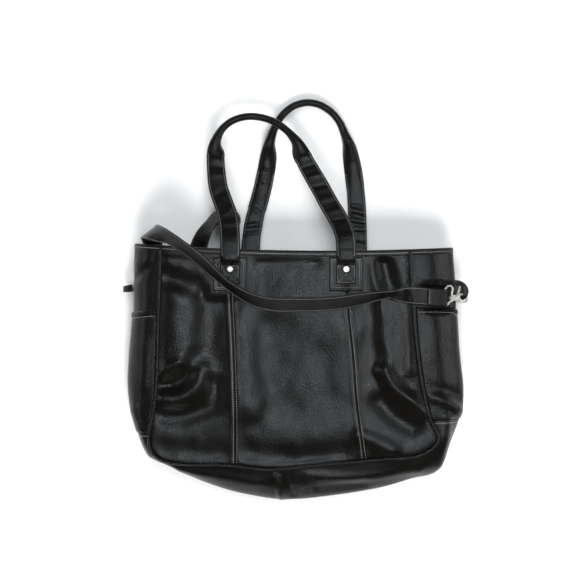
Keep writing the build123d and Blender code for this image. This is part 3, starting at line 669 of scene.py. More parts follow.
# the end of the shoulder strap presses the wall down on its way to the hook: x, highest z
UNDER_STRAP_END = [(158, 60), (163, 50.4), (174, 45.4), (184, 41.4), (192, 38.6), (200, 36)]
STRAP_END_Y, STRAP_END_REACH, DENT_STEEPNESS, DENT_SOFTNESS = 1, 12.5, 0.11, 1.2
ceiling = np.interp(wall[..., 0], *np.transpose(UNDER_STRAP_END))
beside = np.maximum(0, np.abs(wall[..., 1] - STRAP_END_Y) - STRAP_END_REACH)
pressed = wall[..., 2] - ceiling - DENT_STEEPNESS * beside**2
pressed = 0.5 * (pressed + np.sqrt(pressed**2 + DENT_SOFTNESS))
wall[..., 2] -= np.where(wall[..., 0] > UNDER_STRAP_END[0][0], pressed, 0)
wall_out = outward(wall)


SIDE_POINTS = 150         # the first and last points of the wall's lines run up its sides


def along_fold(y, side):
    """The place on the wall's lines where its fold crosses y, on the left or the right."""
    half = range(0, SIDE_POINTS) if side == "left" else range(WALL_POINTS - SIDE_POINTS, WALL_POINTS)
    return min(half, key=lambda i: abs(fold_line[i, 1] - y))


left_bottom, right_bottom = along_fold(-174, "left"), along_fold(-157, "right")
for name, first, last in (
    ("left_gusset", 0, left_bottom),
    ("bottom_gusset", left_bottom, right_bottom),
    ("right_gusset", right_bottom, WALL_POINTS - 1),
):
    grid, out = wall[first:last + 1], wall_out[first:last + 1]
    panel(name, grid, grid - out * SHELL)

stitch_rows = []
POCKET_SPARE = 15         # wall points above the pocket, for the slant of its top edge
HEM, POCKET_ROW = 7.7, 6.8
for side, seam, step, top_y, front_y in (
    ("left", left_bottom, 1, -18, -14), ("right", right_bottom, -1, -14, -11),
):
    top = along_fold(top_y, side)
    chosen = np.arange(top - POCKET_SPARE * step, seam + step, step)
    at = np.arange(len(chosen))
    heights = [front_y, top_y, wall[top, PROFILE_POINTS - 2, 1]]
    grid, out = [], []
    for column in range(1, PROFILE_POINTS - 1):
        # each column starts on the pocket's straight top edge
        top_edge = np.interp(column / (PROFILE_POINTS - 1), [0, 0.5, 1], heights)
        start = np.interp(-top_edge, -wall[chosen, column, 1], at)
        rows = np.linspace(start, at[-1], abs(seam - top) + 1)
        grid.append(sample(wall[chosen, column], at, rows))
        out.append(sample(wall_out[chosen, column], at, rows))
    grid, out = np.stack(grid, axis=1), unit(np.stack(out, axis=1))
    steps = np.linalg.norm(np.diff(grid, axis=0), axis=2)
    depth = np.concatenate([np.zeros((1, grid.shape[1])), np.cumsum(steps, axis=0)])
    hem = 0.9 * (1 - smoothstep(HEM - 2, HEM, depth)) - 0.5 * bump(depth - HEM, 1.2) - 0.6 * bump(depth, 1.0)
    tight = smoothstep(0, 4, depth[-1] - depth)
    full = np.sin(np.linspace(0, math.pi, grid.shape[1]))[None, :] ** 0.5
    rise = (0.5 + 1.3 * (0.4 + 0.6 * tight)) * (0.35 + 0.65 * full) + hem
    skin = grid + out * rise[..., None]
    panel(f"{side}_side_pocket", skin, grid + out * 0.15)
    row = np.argmin(np.abs(depth - POCKET_ROW), axis=0)[1:-1]
    inner = np.arange(1, grid.shape[1] - 1)
    stitch_rows.append((skin[row, inner] + out[row, inner] * 0.1, out[row, inner]))
for place in (left_bottom, right_bottom):
    for row in (place - 2, place + 2):
        stitch_rows.append((wall[row, 2:-2] + wall_out[row, 2:-2] * 0.15, wall_out[row, 2:-2]))
stitches("wall_stitches", stitch_rows)


# ---- piping ----
PIPING_POINTS, PIPING_STEP = 520, 1.6     # how many, and about how far apart
PIPING_SIDES, PIPING_RADIUS = 14, 1.85


def cord_rings(path, radius):
    """Rings of a round cord along a level path."""
    along = unit(np.gradient(path, axis=0))
    across = unit(np.cross(along, [0.0, 0.0, 1.0]))[:, None]
    out = np.cross(across[:, 0], along)[:, None]
    turn = np.arange(PIPING_SIDES)[:, None] * 2 * math.pi / PIPING_SIDES
    return path[:, None] + (across * np.cos(turn) + out * np.sin(turn)) * radius[:, None, None]


for name, line, z in (("front_piping", front_line, FRONT_Z + 0.5), ("back_piping", back_line, BACK_Z + 0.1)):
    path = np.column_stack([spaced(line, PIPING_POINTS), np.full(PIPING_POINTS, z)])
    at = np.arange(PIPING_POINTS) * PIPING_STEP
    radius = PIPING_RADIUS + 0.10 * np.sin(at / 3.1) * np.sin(at / 17.0)
    loft(f"{name}_cord", cord_rings(path, radius), piping_leather, slot="piping_leather", replaces=[name])


# ---- back panel ----
def back_height(x, y):
    """Height of the back panel: flat on its belly, where the bag rests, and raised at its seams."""
    x, y = np.asarray(x, float), np.asarray(y, float)
    across = smoothstep(-172, -138, x) * (1 - smoothstep(123, 160, x))
    down = smoothstep(-207, -182, y) * (1 - smoothstep(-24, 9, y))
    belly = across * down
    soft = 0.2 * ripple(x, y, 80) * (1 - belly) * smoothstep(0, 12, 60 - np.abs(y + 80) * 0.3)
    return BACK_Z - 0.2 - (BACK_Z - 0.6) * belly + soft * (belly > 0)


BACK_ROWS, BACK_COLS = 150, 180
first, last = nearest(back_line, -164, -203), nearest(back_line, 160, -197)
plan = coons(
    spaced(back_line[:first + 1][::-1], BACK_ROWS), spaced(back_line[last:], BACK_ROWS),
    spaced(back_line[first:last + 1], BACK_COLS), rim_side(back_line[0, 0], back_line[-1, 0], BACK_COLS),
)
height = back_height(plan[..., 0], plan[..., 1])
panel("back_panel", np.dstack([plan, height + SHELL]), np.dstack([plan, height]))


# ---- rim binding, lining and inner pocket ----
MOUTH_POINTS, MOUTH_STEP = 440, 2.0


def mouth_loop():
    """The closed line of the mouth in X and Z: front edge, right wall, back edge, left wall."""
    x = np.arange(front_line[0, 0], front_line[-1, 0], MOUTH_STEP)
    front = np.column_stack([x, front_height(x, rim(x) - TUCK)])
    x = np.arange(back_line[-1, 0], back_line[0, 0], -MOUTH_STEP)
    back = np.column_stack([x, back_height(x, rim(x) - TUCK)])
    right, left = wall[-1][1:-1, [0, 2]], wall[0][-2:0:-1, [0, 2]]
    loop = np.concatenate([front, right, back, left, front[:1]])
    return smoothed(spaced(loop, MOUTH_POINTS + 1)[:-1], 5)


loop = mouth_loop()
tangent = unit(np.roll(loop, -1, axis=0) - np.roll(loop, 1, axis=0))
loop_out = np.column_stack([tangent[:, 1], -tangent[:, 0]])
loop_out *= np.sign(((loop - BAG_MIDDLE[[0, 2]]) * loop_out).sum(axis=1))[:, None]
# section of the binding: out of the mouth's line, and along Y from the rim
BINDING_ROW = 4.6
BINDING_SECTION = [
    (1.0, -8.0), (1.25, -7.4), (1.3, -5.6), (1.15, -BINDING_ROW), (1.3, -3.6), (1.25, -2.0), (0.8, -0.8),
    (0.0, -0.15), (-1.0, 0.0), (-2.0, -0.15), (-2.9, -0.8), (-3.3, -2.0), (-3.4, -5.0),
    (-3.3, -7.6), (-2.4, -8.0), (-0.2, -8.0),
]
section = np.array(BINDING_SECTION)
at = np.arange(MOUTH_POINTS)
wave = 0.2 * np.sin(at / 3.7) * np.sin(at / 23.0)
spread = loop[:, None] + loop_out[:, None] * (section[None, :, :1] + wave[:, None, None])
rings = np.stack([spread[..., 0], rim(loop[:, :1]) + section[None, :, 1], spread[..., 1]], axis=-1)
loft("rim_binding_leather", rings, binding, close=True, slot="binding_leather", replaces=["rim_binding"])
around, around_out = (np.concatenate([line, line[:1]]) for line in (loop, loop_out))
row = np.column_stack([around + around_out * 1.2, rim(around[:, 0]) - BINDING_ROW])[:, [0, 2, 1]]
row_out = np.column_stack([around_out, np.zeros(len(around))])[:, [0, 2, 1]]
stitches("rim_stitches", [(row, row_out)], pitch=2.9, size=2.1)


LINING_DEPTH = 3.3        # from the shell's outside to the lining
LINING_TOP, LINING_FOOT, LINING_MIDDLE_Z = 58.0, -200.0, 33.0
LINING_POINTS, LINING_ROWS, FACE_POINTS = 240, 60, 60
STRAIGHT_TO = -148.0      # below this the lining is drawn together to its bottom seam


def side_to_side(line, y):
    """Where one of the wall's lines crosses y on the left and on the right."""
    left, right = line[:along_fold(-150, "left")], line[along_fold(-150, "right"):]
    return np.interp(-y, -left[:, 1], left[:, 0]), np.interp(y, right[:, 1], right[:, 0])


def lining_ring(y):
    """The lining's closed line across the bag at one y."""
    left, right = side_to_side(front_line, y)
    x = np.linspace(left + LINING_DEPTH, right - LINING_DEPTH, FACE_POINTS)
    z = np.minimum(FRONT_Z, front_height(x, np.full(FACE_POINTS, y))) - LINING_DEPTH
    front = np.column_stack([x, z])
    left, right = side_to_side(back_line, y)
    x = np.linspace(right - LINING_DEPTH, left + LINING_DEPTH, FACE_POINTS)
    back = np.column_stack([x, np.full(FACE_POINTS, BACK_Z + SHELL + 0.6)])
    left, right = side_to_side(fold_line, y)
    left, right = [[left + LINING_DEPTH + 1.5, FOLD_Z]], [[right - LINING_DEPTH - 1.5, FOLD_Z]]
    loop = smoothed(spaced(np.concatenate([front, right, back, left, front[:1]]), LINING_POINTS + 1)[:-1], 4)
    return np.column_stack([loop[:, 0], np.full(LINING_POINTS, y), loop[:, 1]])


rings = []
for share in np.linspace(0, 1, LINING_ROWS):
    y = LINING_TOP + (LINING_FOOT - LINING_TOP) * share
    ring = lining_ring(max(y, STRAIGHT_TO))
    ring[:, 1] = y + (rim(ring[:, 0]) - RIM_Y - 0.6 * TUCK) * (1 - share)
    pull = float(smoothstep(150, 200, -y))
    rings.append(ring + (np.array([-5.0, y, LINING_MIDDLE_Z]) - ring) * np.array([0.16, 0, 0.97]) * pull)
rings = np.array(rings)
crease = 0.5 * ripple(rings[..., 0], rings[..., 1] + rings[..., 2], 45)
inner = rings.copy()
inner[..., 2] += np.sign(LINING_MIDDLE_Z - rings[..., 2]) * (0.5 + 0.5 * np.abs(crease))
loft(
    "lining_cloth", np.concatenate([rings, inner[::-1]]), inside, close=True,
    slot="lining_fabric", replaces=["lining"],
)

POCKET_HALF_WIDTH, POCKET_HALF_HEIGHT = 100, 60
u, v = np.meshgrid(np.linspace(-1, 1, 81), np.linspace(-1, 1, 51))
x, y = -10 + POCKET_HALF_WIDTH * u, -60 + POCKET_HALF_HEIGHT * v
slack = (1 - u**4) * (1 - (1 - v) ** 2 / 4)
z = np.minimum(FRONT_Z, front_height(x, y)) - LINING_DEPTH - 1.0
z = z - 1.6 * slack - 0.3 * ripple(x, y, 30) * slack
z = z - 0.7 * bump(POCKET_HALF_HEIGHT * (1 - v), 5) * (1 - u**6)
pocket = np.dstack([x, y, z])
pocket_cloth = sheet(
    "inner_pocket_cloth", pocket, pocket - [0, 0, 0.8], inside,
    slot="lining_fabric", replaces=["inner_pocket"],
)


# ---- handles ----
# centre lines as the CAD frame has them: x, y, z, width of the strap seen from above
FRONT_HANDLE = [
    (-85.5, 45.6, 59.6, 25), (-85.4, 52, 60.4, 25.5), (-85.2, 66, 60, 26),
    (-85.6, 76, 58.5, 26), (-86.5, 90, 53.5, 26), (-88.6, 107, 48.5, 26), (-94.3, 124, 44, 25.5),
    (-100.8, 143, 39.5, 25), (-104, 167, 34.5, 24), (-104.7, 190, 29.5, 22), (-102.5, 207, 26, 15),
    (-97, 220, 24, 10.4), (-86.5, 230, 22.5, 10), (-72.8, 236, 21.5, 10), (-59.5, 237.8, 21, 10),
    (-45.5, 236.4, 21, 10), (-31.5, 232, 21.5, 10), (-20, 225.5, 22.3, 10), (-10, 217, 23.8, 10.4),
    (-2.4, 206.5, 25.8, 15), (5, 192, 28, 21), (16.3, 171, 32, 24), (31.2, 145, 37.5, 25),
    (44.2, 121, 43.5, 25.5), (54.8, 103, 49, 26), (61.5, 88, 54, 26), (64.4, 76, 58.4, 26),
    (65, 66, 60, 26), (65, 52, 60.4, 25.5), (65, 45.6, 59.6, 25),
]
REAR_HANDLE = [
    (-59.8, 45.6, 8.4, 25), (-59.8, 52, 7.9, 25), (-59.5, 66, 7.6, 24.5), (-58.3, 80, 6.5, 24),
    (-55.6, 98, 5.2, 24), (-51.4, 116, 4.4, 23), (-44.8, 140, 4, 22.5), (-39.2, 166, 4.2, 22),
    (-35, 190, 4.8, 20), (-31.5, 210, 5.6, 14), (-26, 227, 6, 10.4), (-16, 242, 6.2, 10),
    (-2, 252.5, 6.2, 10), (13, 256.6, 6.2, 10), (27.5, 255, 6.2, 10), (40, 249, 6.2, 10),
    (50.5, 240, 6.2, 10), (58, 229, 6.1, 10.4), (63, 215, 5.6, 13), (68.2, 199, 4.9, 18),
    (72.8, 180, 4.5, 21), (76.8, 156, 4.2, 22.5), (79.3, 131, 4.2, 23.5), (80.6, 104, 5, 24),
    (80.8, 84, 6.2, 24.5), (80.7, 66, 7.6, 25), (80.6, 52, 7.9, 25), (80.6, 45.6, 8.4, 25),
]
# creases across the straps: nearest point, lean, half width along the strap, height
FRONT_CREASES = [
    ((-105, 181), 0.25, 4.0, 0.9), ((-104, 171), 0.2, 3.0, -0.7), ((-104, 160), 0.1, 3.5, 0.6),
    ((-98, 136), -0.3, 5.0, -0.6), ((-90, 112), -0.4, 5.0, 0.6), ((-86, 96), 0.0, 5.0, 0.7),
    ((-85, 58), 0.05, 3.0, 0.5), ((10, 184), 0.3, 4.0, 0.8), ((16, 172), 0.25, 3.0, -0.7),
    ((22, 159), 0.3, 3.5, 0.9), ((31, 146), 0.35, 3.5, -0.8), ((40, 129), 0.3, 4.0, 0.6),
    ((48, 112), 0.3, 4.0, 0.8), ((55, 101), 0.35, 3.0, -0.6), ((63, 82), 0.2, 4.0, 0.6),
    ((65, 60), 0.1, 3.0, 0.6),
]
REAR_CREASES = [
    ((-35, 196), 0.15, 4.0, 0.7), ((-38, 175), 0.25, 3.5, 0.8), ((-40, 165), 0.2, 3.0, -0.6),
    ((-42, 154), 0.2, 3.0, 0.7), ((-46, 134), 0.25, 3.5, 0.7), ((-50, 122), 0.3, 3.0, -0.6),
    ((-52, 113), 0.3, 3.0, 0.7), ((-56, 97), -0.3, 2.6, 1.0), ((-57, 90), -0.3, 2.6, -0.7),
    ((-59, 80), -0.3, 2.8, 0.6), ((71, 190), 0.2, 3.0, 0.7), ((75, 168), 0.1, 4.0, 0.4),
    ((80, 121), 0.35, 2.2, 0.9), ((80, 114), 0.3, 1.8, -0.8), ((81, 108), 0.25, 2.0, 1.0),
    ((81, 102), 0.2, 1.8, -0.7), ((81, 97), 0.15, 2.0, 0.9), ((81, 91), 0.1, 1.8, -0.7),
    ((81, 86), 0.1, 2.2, 0.9), ((81, 77), 0.15, 2.2, -0.6), ((81, 71), 0.2, 2.6, 0.8),
]
HANDLE_POINTS, HANDLE_STEP = 300, 1.8     # how many, and about how far apart
GRIP_LEAN = 0.9           # angle by which the rolled grip's seam turns away from straight below
FLOOR_GAP = 0.2
# how far the strap is rolled, in radians, where it is seen this wide
ROLL_BY_WIDTH = [(10, 5.95), (10.4, 5.6), (15, 3.9), (21, 1.5), (23.5, 0.0)]


def rolled(path, across, width, thick, roll, lean, creases):
    """Rings of a strap whose edges roll under it into a tube, and the way out of its middle."""
    across, out = path_frame(path, across)
    length = lengths(path)
    marks = [
        (length[np.argmin(((path[:, :2] - place) ** 2).sum(axis=1))], slant, size, height)
        for place, slant, size, height in creases
    ]
    rings = []
    for i, point in enumerate(path):
        half = width[i] / 2
        arc_x, rise = strap_section(width[i], thick[i])
        flatness = 1 - float(smoothstep(0.2, 2.5, roll[i]))
        share = np.clip(np.abs(arc_x) / half, 0, 1)
        pressed = 0.16 * bump(share * half - half + STITCH_INSET, 0.8)
        rise = rise * (1 + flatness * (0.25 - 0.5 * share**3 - pressed))
        swell = flatness * (0.4 + 0.6 * (1 - share**2))
        for where, slant, size, height in marks:
            rise = rise + swell * height * bump(length[i] - where - slant * arc_x, size)
        bend = max(roll[i], 1e-3) / width[i]
        turned = bend * arc_x
        px = np.sin(turned) / bend + rise * np.sin(turned)
        py = (np.cos(turned) - 1) / bend + rise * np.cos(turned)
        if roll[i] > 1e-3:
            py = py - (np.sin(roll[i] / 2) / (roll[i] / 2) - 1) / bend
        cos, sin = math.cos(lean[i]), math.sin(lean[i])
        qx, qy = px * cos - py * sin, px * sin + py * cos
        rings.append(point + across[i] * qx[:, None] + out[i] * qy[:, None])
    return np.array(rings), out


def edge_rows(rings, out, keep):
    """Stitch rows along both edges of a strap, on both faces, wherever keep is true."""
    rows = []
    columns = [(1, 1), (FLATS - 2, 1), (FLATS + ARCS + 1, -1), (2 * FLATS + ARCS - 2, -1)]
    for a, b in stretches(keep):
        if b - a > 4:
            rows += [(rings[a:b, c], side * out[a:b]) for c, side in columns]
    return rows


for name, stations, creases, hinge_z in (
    ("front_handle", FRONT_HANDLE, FRONT_CREASES, 61.0), ("rear_handle", REAR_HANDLE, REAR_CREASES, 7.0),
):
    line = curve(stations, HANDLE_POINTS)
    path, seen = line[:, :3], line[:, 3]
    roll = np.interp(seen, *np.transpose(ROLL_BY_WIDTH))
    for _ in range(6):
        roll[1:-1] = 0.25 * roll[:-2] + 0.5 * roll[1:-1] + 0.25 * roll[2:]
    tube = smoothstep(0.3, 5.0, roll)
    width = np.where(tube > 0, np.maximum(seen, 24.0) * (1 - tube) + 23.0 * tube, seen)
    at = np.arange(HANDLE_POINTS)
    from_end = np.minimum(at, at[::-1]) * HANDLE_STEP
    thick = 3.3 * (1 - tube) + 2.0 * tube + 1.3 * bump(from_end - 6.5, 4.5) - 0.9 * bump(from_end, 2.5)
    across = np.cross([0.0, 0.0, 1.0], unit(np.gradient(path, axis=0)))
    rings, out = rolled(path, across, width, thick, roll, GRIP_LEAN * tube, creases)
    rings[..., 2] += np.maximum(0, FLOOR_GAP - rings[..., 2].min(axis=1))[:, None]
    strap = loft(
        f"{name}_leather", rings, strap_leather, body=None, slot="handle_leather",
        replaces=[f"{name}_strap"],
    )
    sewn = stitches(f"{name}_stitches", edge_rows(rings, out, (roll < 0.9) & (from_end > 9)), body=None)
    for piece in (strap, sewn):
        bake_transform(piece)


# ---- patches and stitched strap ends ----
def rounded_square(half, corner, count):
    """A plan grid over a square with round corners, and each point's distance from its edge."""
    even = np.linspace(-1, 1, count)
    side = np.sin(even * math.pi / 2) * 0.35 + even * 0.65
    x, y = np.meshgrid(side * half, side * half)
    past_x, past_y = np.abs(x) - (half - corner), np.abs(y) - (half - corner)
    in_corner = (past_x > 0) & (past_y > 0)
    reach = np.maximum(past_x, past_y) / np.maximum(np.hypot(past_x, past_y), 1e-9)
    scale = np.where(in_corner, reach, 1.0)
    x = np.where(in_corner, np.sign(x) * (half - corner + past_x * scale), x)
    y = np.where(in_corner, np.sign(y) * (half - corner + past_y * scale), y)
    outside = np.hypot(np.maximum(np.abs(x) - half + corner, 0), np.maximum(np.abs(y) - half + corner, 0))
    inside_by = np.minimum(half - np.abs(x), half - np.abs(y))
    return x, y, np.where(in_corner, corner - outside, inside_by)


PATCH_HALF, TAB_HALF = 22.0, 13.0
PATCH_ROW, TAB_ROW, PATCH_ROW_GAP = 2.6, 2.2, 2.2
SQUARE = [(-1, -1), (1, -1), (1, 1), (-1, 1), (-1, -1)]
DIAGONALS = [[(-1, -1), (1, 1)], [(-1, 1), (1, -1)]]
SQUARE_POINTS, DIAGONAL_POINTS = 81, 20
patch_rows = []


def level_row(corners, half, middle, count, z, out):
    """A level row of stitching through corners that stand half from its middle."""
    line = spaced(np.array(corners, float) * half, count) + middle
    return np.column_stack([line, np.full(count, z)]), np.tile([0.0, 0.0, out], (count, 1))


for end, xs, surface, up, level in (
    ("front", FRONT_HANDLE_X, front_height, 1, FRONT_Z + 1.9),
    ("rear", REAR_HANDLE_X, back_height, -1, BACK_Z - 1.2),
):
    for side, middle_x in zip(("left", "right"), xs):
        middle = np.array([middle_x, PATCH_Y])
        x, y, edge = rounded_square(PATCH_HALF, 2.2, 65)
        placed = np.dstack([x, y]) + middle
        base = surface(placed[..., 0], placed[..., 1])
        swell = 1.35 - 0.75 * bump(edge, 0.8) - 0.45 * bump(edge - PATCH_ROW, 0.7)
        swell = swell - 0.28 * bump(edge - PATCH_ROW - PATCH_ROW_GAP, 0.6) + 0.10 * ripple(x * 3, y * 3, 60)
        low = np.dstack([placed, base - up * 0.3])
        panel(f"{end}_{side}_patch", np.dstack([placed, base + up * swell]), low)
        half = PATCH_HALF - PATCH_ROW
        patch_rows.append(level_row(SQUARE, half, middle, SQUARE_POINTS, level, up))
        inner = half - PATCH_ROW_GAP
        patch_rows.append(level_row(SQUARE, inner, middle, SQUARE_POINTS, level + up * 0.15, up))
        x, y, edge = rounded_square(TAB_HALF, 1.6, 61)
        placed = np.dstack([x, y]) + middle
        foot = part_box(f"{end}_{side}_tab")[0 if up > 0 else 1].z / MM
        swell = 2.9 - 1.3 * bump(edge, 0.9) - 0.55 * bump(edge - TAB_ROW, 0.7)
        spoke = TAB_HALF - TAB_ROW - 0.6
        for lean in (1, -1):
            off = np.abs(y - lean * x) / math.sqrt(2)
            swell = swell - 0.5 * bump(off, 0.7) * (np.maximum(np.abs(x), np.abs(y)) < spoke)
        rivet_off = np.hypot(x, y + PATCH_Y - RIVET_Y)
        swell = swell + (2.95 - swell) * (1 - smoothstep(4.4, 5.6, rivet_off))
        swell = swell + 0.15 * ripple(x * 4, y * 4, 60) * (rivet_off > 6)
        low = np.dstack([placed, np.full_like(x, foot - up * 0.4)])
        panel(f"{end}_{side}_tab", np.dstack([placed, foot + up * swell]), low, strap_leather)
        half = TAB_HALF - TAB_ROW
        patch_rows.append(level_row(SQUARE, half, middle, SQUARE_POINTS, foot + up * 2.35, up))
        for ends in DIAGONALS:
            points, out = level_row(ends, half - 0.8, middle, DIAGONAL_POINTS, foot + up * 2.45, up)
            clear = np.hypot(points[:, 0] - middle_x, points[:, 1] - RIVET_Y) > 5.2
            patch_rows += [(points[a:b], out[a:b]) for a, b in stretches(clear) if b - a > 2]
stitches("patch_stitches", patch_rows, pitch=2.5, size=1.8)

# ---- front seam stitches ----
seam_rows = []
for seam_x, end in ((left_seam_x, left_end), (right_seam_x, right_end)):
    y = np.arange(front_line[end, 1] + 3, PATCH_Y - PATCH_HALF - 1.0, 1.0)
    for off in (-FRONT_SEAM_ROW, FRONT_SEAM_ROW):
        seam_rows.append(on_front(seam_x(y) + off, y, 0.05))
stitches("seam_stitches", seam_rows, size=2.1)


# ---- shoulder strap ----
# centre line and the direction of its width, as the CAD frame has them
STRAP_WIDTH, STRAP_THICK, STRAP_POINTS = 23.0, 2.6, 620
STRAP_ROUTE = [
    (192.1, 0.8, 42.0, 0, 1, 0), (184, 1, 44.9, 0, 1, 0), (174, 2, 49, 0, 1, 0),
    (163, 3, 54.2, 0, 1, 0), (150, 4, 62.6, 0, 1, 0.08), (137, 5, 65, 0, 0.83, 0.56),
    (124.8, 6, 69.6, 0, 0.45, 0.89), (105, 3.5, 69.2, 0, 0.53, 0.85),
    (82, -1, 67, 0, 0.72, 0.69), (60, -5, 66, 0, 0.77, 0.64), (30, -7.5, 65.6, 0, 0.79, 0.62),
    (0, -8, 65.6, 0, 0.79, 0.62), (-30, -7.5, 65.6, 0.1, 0.78, 0.62),
    (-52, -2.5, 67, 0.3, 0.65, 0.7), (-71, 6.5, 69.8, 0.35, 0.47, 0.81),
    (-89.7, 19, 71.3, 0.33, 0.38, 0.86), (-104, 31.5, 70.2, 0.36, 0.42, 0.83),
    (-118, 44.5, 69.4, 0.38, 0.48, 0.79), (-136, 59.5, 69.2, 0.36, 0.53, 0.77),
    (-153, 71, 70, 0.34, 0.55, 0.77), (-168, 80.5, 68, 0.4, 0.6, 0.69),
    (-181, 84.5, 58, 0.6, 0.62, 0.5), (-190, 86, 45, 0.76, 0.6, 0.25),
    (-193, 85.5, 30, 0.82, 0.57, 0), (-192, 82, 17, 0.87, 0.48, -0.1),
    (-188, 72, 7.5, 0.93, 0.36, 0), (-181, 58.5, 3, 0.86, 0.5, 0),
    (-167, 47, 2.2, 0.5, 0.86, 0), (-150, 44, 2.2, 0, 1, 0), (-136, 50, 2.3, -0.66, 0.75, 0),
    (-129, 64, 4.3, -0.93, 0.33, -0.1), (-123, 80, 8.8, -0.8, 0.35, -0.45),
    (-113, 96, 12.8, -0.55, 0.35, -0.76), (-101, 109, 14, -0.4, 0.5, -0.77),
    (-88, 114, 14.5, 0, 0.55, -0.84), (-79.5, 106, 15, 0.45, 0.3, -0.84),
    (-78, 93, 14.5, 0.3, 0, -0.95), (-81, 80, 11.5, 0.62, -0.05, -0.78),
    (-86, 67, 5.7, 0.95, -0.1, -0.28), (-91, 53, 2.6, 0.88, -0.47, 0),
    (-103, 38, 2.2, 0.62, -0.78, 0), (-123, 25, 2.2, 0.35, -0.94, 0),
    (-147, 16.5, 2.2, 0.2, -0.98, 0), (-166, 12.5, 2.8, 0.1, -0.99, 0), (-180.6, 11, 4.1, 0, -1, 0),
]
# creases across it: distance along it, lean, half width, height
STRAP_CREASES = [
    (14, 0.1, 2.0, -0.4), (42, 0.4, 4.0, 0.5), (66, -0.3, 3.5, 0.5), (96, 0.3, 5.0, -0.4),
    (150, 0.2, 6.0, 0.4), (196, -0.3, 5.0, 0.5), (232, 0.5, 4.0, -0.5), (268, 0.4, 4.0, 0.5),
    (330, 0.2, 5.0, 0.4), (372, 0.5, 3.5, 0.6),
]
route = curve(STRAP_ROUTE, STRAP_POINTS, span=(0.004, 0.996))
strap_path, strap_across = route[:, :3], unit(route[:, 3:])
strap_rings = band(
    strap_path, strap_across, STRAP_WIDTH, STRAP_THICK, pillow=0.3, groove=0.2, creases=STRAP_CREASES,
)
loft("shoulder_strap_leather", strap_rings, strap_leather, slot="shell_leather", replaces=["shoulder_strap"])
strap_out = path_frame(strap_path, strap_across)[1]
strap_rows = edge_rows(strap_rings, strap_out, np.ones(STRAP_POINTS, bool))

# each strap end folds round its hook's wire and is sewn back on itself
FOLD_LENGTH, FOLD_LIFT, FOLD_RADIUS = 21.0, 1.95, 2.6
END_ROW_INSET, END_ROW_LIFT = 2.6, 2.6
ROUND = 12                # points round the wire, and along each row of end stitches
for side, wire, step in (("right", (194, 0.8, 41.5), 1), ("left", (-182.5, 11, 4.5), -1)):
    path, out, wide = strap_path[::step], strap_out[::step], strap_across[::step]
    at = lengths(path)
    keep = (at > 2.5) & (at < FOLD_LENGTH)
    away = unit(path[12] - path[0])
    turn = np.linspace(0.15, math.pi - 0.15, ROUND)[:, None]
    around = np.array(wire, float) + FOLD_RADIUS * (out[0] * np.cos(turn) - away * np.sin(turn))
    upper, lower = path[keep] + out[keep] * FOLD_LIFT, path[keep] - out[keep] * FOLD_LIFT
    line = np.concatenate([upper[::-1], around, lower])
    directions = np.concatenate([wide[keep][::-1], np.tile(wide[0], (ROUND, 1)), wide[keep]])
    fold = curve(np.column_stack([line, directions]), 110)
    rings = band(fold[:, :3], unit(fold[:, 3:]), 22.0, 1.25, pillow=0.1, flats=24)
    loft(f"{side}_strap_end", rings, strap_leather, slot="shell_leather", replaces=["shoulder_strap"])
    sewn = int(np.argmin(np.abs(at - FOLD_LENGTH + END_ROW_INSET)))
    for face in (out[sewn], -out[sewn]):
        points = path[sewn] + face * END_ROW_LIFT + wide[sewn] * np.linspace(-9, 9, ROUND)[:, None]
        strap_rows.append((points, np.tile(face, (ROUND, 1))))
stitches("strap_stitches", strap_rows, pitch=3.0, size=2.0, girth=0.3)

# ---- side loops ----
# each loop's route: x, y, z, the direction of its width, and its width
LOOP_THICK = 1.7
RIGHT_LOOP = [
    (203, 21, 35.3, 0, 1, 0, 6), (212, 20.8, 36.2, 0.2, 1, 0, 5.4),
    (218.6, 16.4, 38.2, 0.75, 0.65, 0, 6.6), (221.6, 9, 38.7, 1, 0.1, 0, 7),
    (219.8, 2.8, 38.5, 1, 0, 0, 5.4), (217.5, -0.9, 36.2, 1, 0, 0, 4.2),
    (217.2, -1.2, 32.4, 1, 0, 0, 4.2), (216.9, 1.6, 29.4, 1, 0, 0, 6.5),
    (213.5, 9.5, 28.4, 0.8, 0.6, 0, 14), (203.5, 13, 28.2, 0, 1, 0, 13),
]
LEFT_LOOP = [
    (-205, 13.5, 26.6, 0, 1, 0, 9), (-206.4, 13, 20, 0, 1, 0, 5), (-206, 12.6, 11, 0, 1, 0, 3.6),
    (-206.6, 12.6, 6.6, 0, 1, 0, 3.6), (-210, 12.6, 4.2, 0, 1, 0, 5), (-216.5, 12.6, 6, 0, 1, 0, 7),
    (-222.5, 12.4, 12.5, 0, 1, 0, 8), (-225.4, 12, 20, 0, 1, 0, 8),
    (-221, 12.6, 26.5, 0, 1, 0, 9), (-213.2, 13.5, 29.4, 0, 1, 0, 10),
]
for name, stations in (("right_side_loop", RIGHT_LOOP), ("left_side_loop", LEFT_LOOP)):
    line = curve(stations, 90)
    rings = band(line[:, :3], unit(line[:, 3:6]), line[:, 6], LOOP_THICK, pillow=0.25, flats=16, arcs=4)
    loft(f"{name}_leather", rings, strap_leather, slot="shell_leather", replaces=[name])

# ---- finishes of the CAD's own hardware ----
FINISHES = {
    nickel: ["handle_rivets"],
    steel: ["rivet_washers", "snap_stud", "snap_socket"],
    cord_foam: ["front_handle_core", "rear_handle_core"],
}
for side in ("left", "right"):
    FINISHES[nickel] += [f"{side}_hook_{part}" for part in ("eye", "claw", "trigger")]
    FINISHES[steel] += [f"{side}_hook_{part}" for part in ("pin", "spring")]
for finish, names in FINISHES.items():
    for name in names:
        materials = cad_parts[name].data.materials
        materials.clear()
        materials.append(finish)

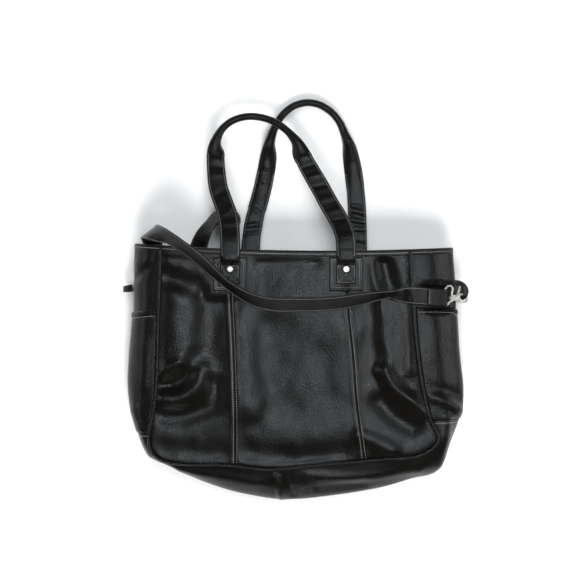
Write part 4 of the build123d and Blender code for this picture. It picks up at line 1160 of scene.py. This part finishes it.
# ---- floor, light and camera ----
FLOOR_Z = -0.0004
bpy.ops.mesh.primitive_plane_add(size=24.0, location=(0, 0, FLOOR_Z))
floor = bpy.context.active_object
floor.name = "floor"
paper, tree, shader = nodes_for("floor_paper")
give(shader, {"Base Color": (0.95, 0.95, 0.95, 1), "Roughness": 0.9, "Specular IOR Level": 0.1})
floor.data.materials.append(paper)
floor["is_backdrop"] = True

world = bpy.data.worlds.new("studio")
bpy.context.scene.world = world
world.use_nodes = True
give(world.node_tree.nodes["Background"], {"Color": (0.93, 0.96, 1.0, 1), "Strength": 0.05})


AIM = (-0.01, -0.05, 0.04)


def soft_light(name, place, size, power, colour, gloss=True):
    """A square light aimed at the bag's middle; without gloss it makes no highlights."""
    lamp = bpy.data.lights.new(name, "AREA")
    lamp.shape = "SQUARE"
    lamp.size = size
    lamp.energy = power
    lamp.color = colour
    obj = bpy.data.objects.new(name, lamp)
    obj.location = place
    obj.rotation_mode = "QUATERNION"
    obj.rotation_quaternion = (Vector(AIM) - Vector(place)).to_track_quat("-Z", "Y")
    obj.visible_camera = False
    obj.visible_glossy = gloss
    bpy.context.scene.collection.objects.link(obj)


soft_light("overhead", (0.24, 0.20, 2.3), 0.6, 11.0, (0.86, 0.94, 1.0))
soft_light("left_fill", (-2.2, 0.3, 1.3), 0.9, 5.0, (0.95, 0.98, 1.0))
soft_light("right_fill", (2.2, 0.2, 1.3), 0.9, 8.0, (0.95, 0.98, 1.0))
soft_light("low_front", (0.0, -2.2, 0.75), 0.35, 2.4, (0.92, 0.97, 1.0))
soft_light("key", (0.4, -4.4, 3.8), 3.2, 450, (1.0, 0.99, 0.98), gloss=False)
soft_light("bounce", (-0.4, 3.6, 4.2), 3.6, 170, (1.0, 1.0, 1.0), gloss=False)

VIEW_CENTRE = (-0.0078, 0.0110)
VIEW_WIDTH = 0.754
CAMERA_HEIGHT = 4.2
FOCUS_HEIGHT = 0.045      # the height at which the view is VIEW_WIDTH wide
SENSOR = 36.0
camera_data = bpy.data.cameras.new("camera")
camera_data.sensor_width = SENSOR
camera_data.lens = SENSOR * (CAMERA_HEIGHT - FOCUS_HEIGHT) / VIEW_WIDTH
camera_data.clip_end = 50.0
camera = bpy.data.objects.new("camera", camera_data)
camera.location = (*VIEW_CENTRE, CAMERA_HEIGHT)
bpy.context.scene.collection.objects.link(camera)
bpy.context.scene.camera = camera
bpy.context.scene.view_settings.view_transform = "Standard"

low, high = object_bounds()
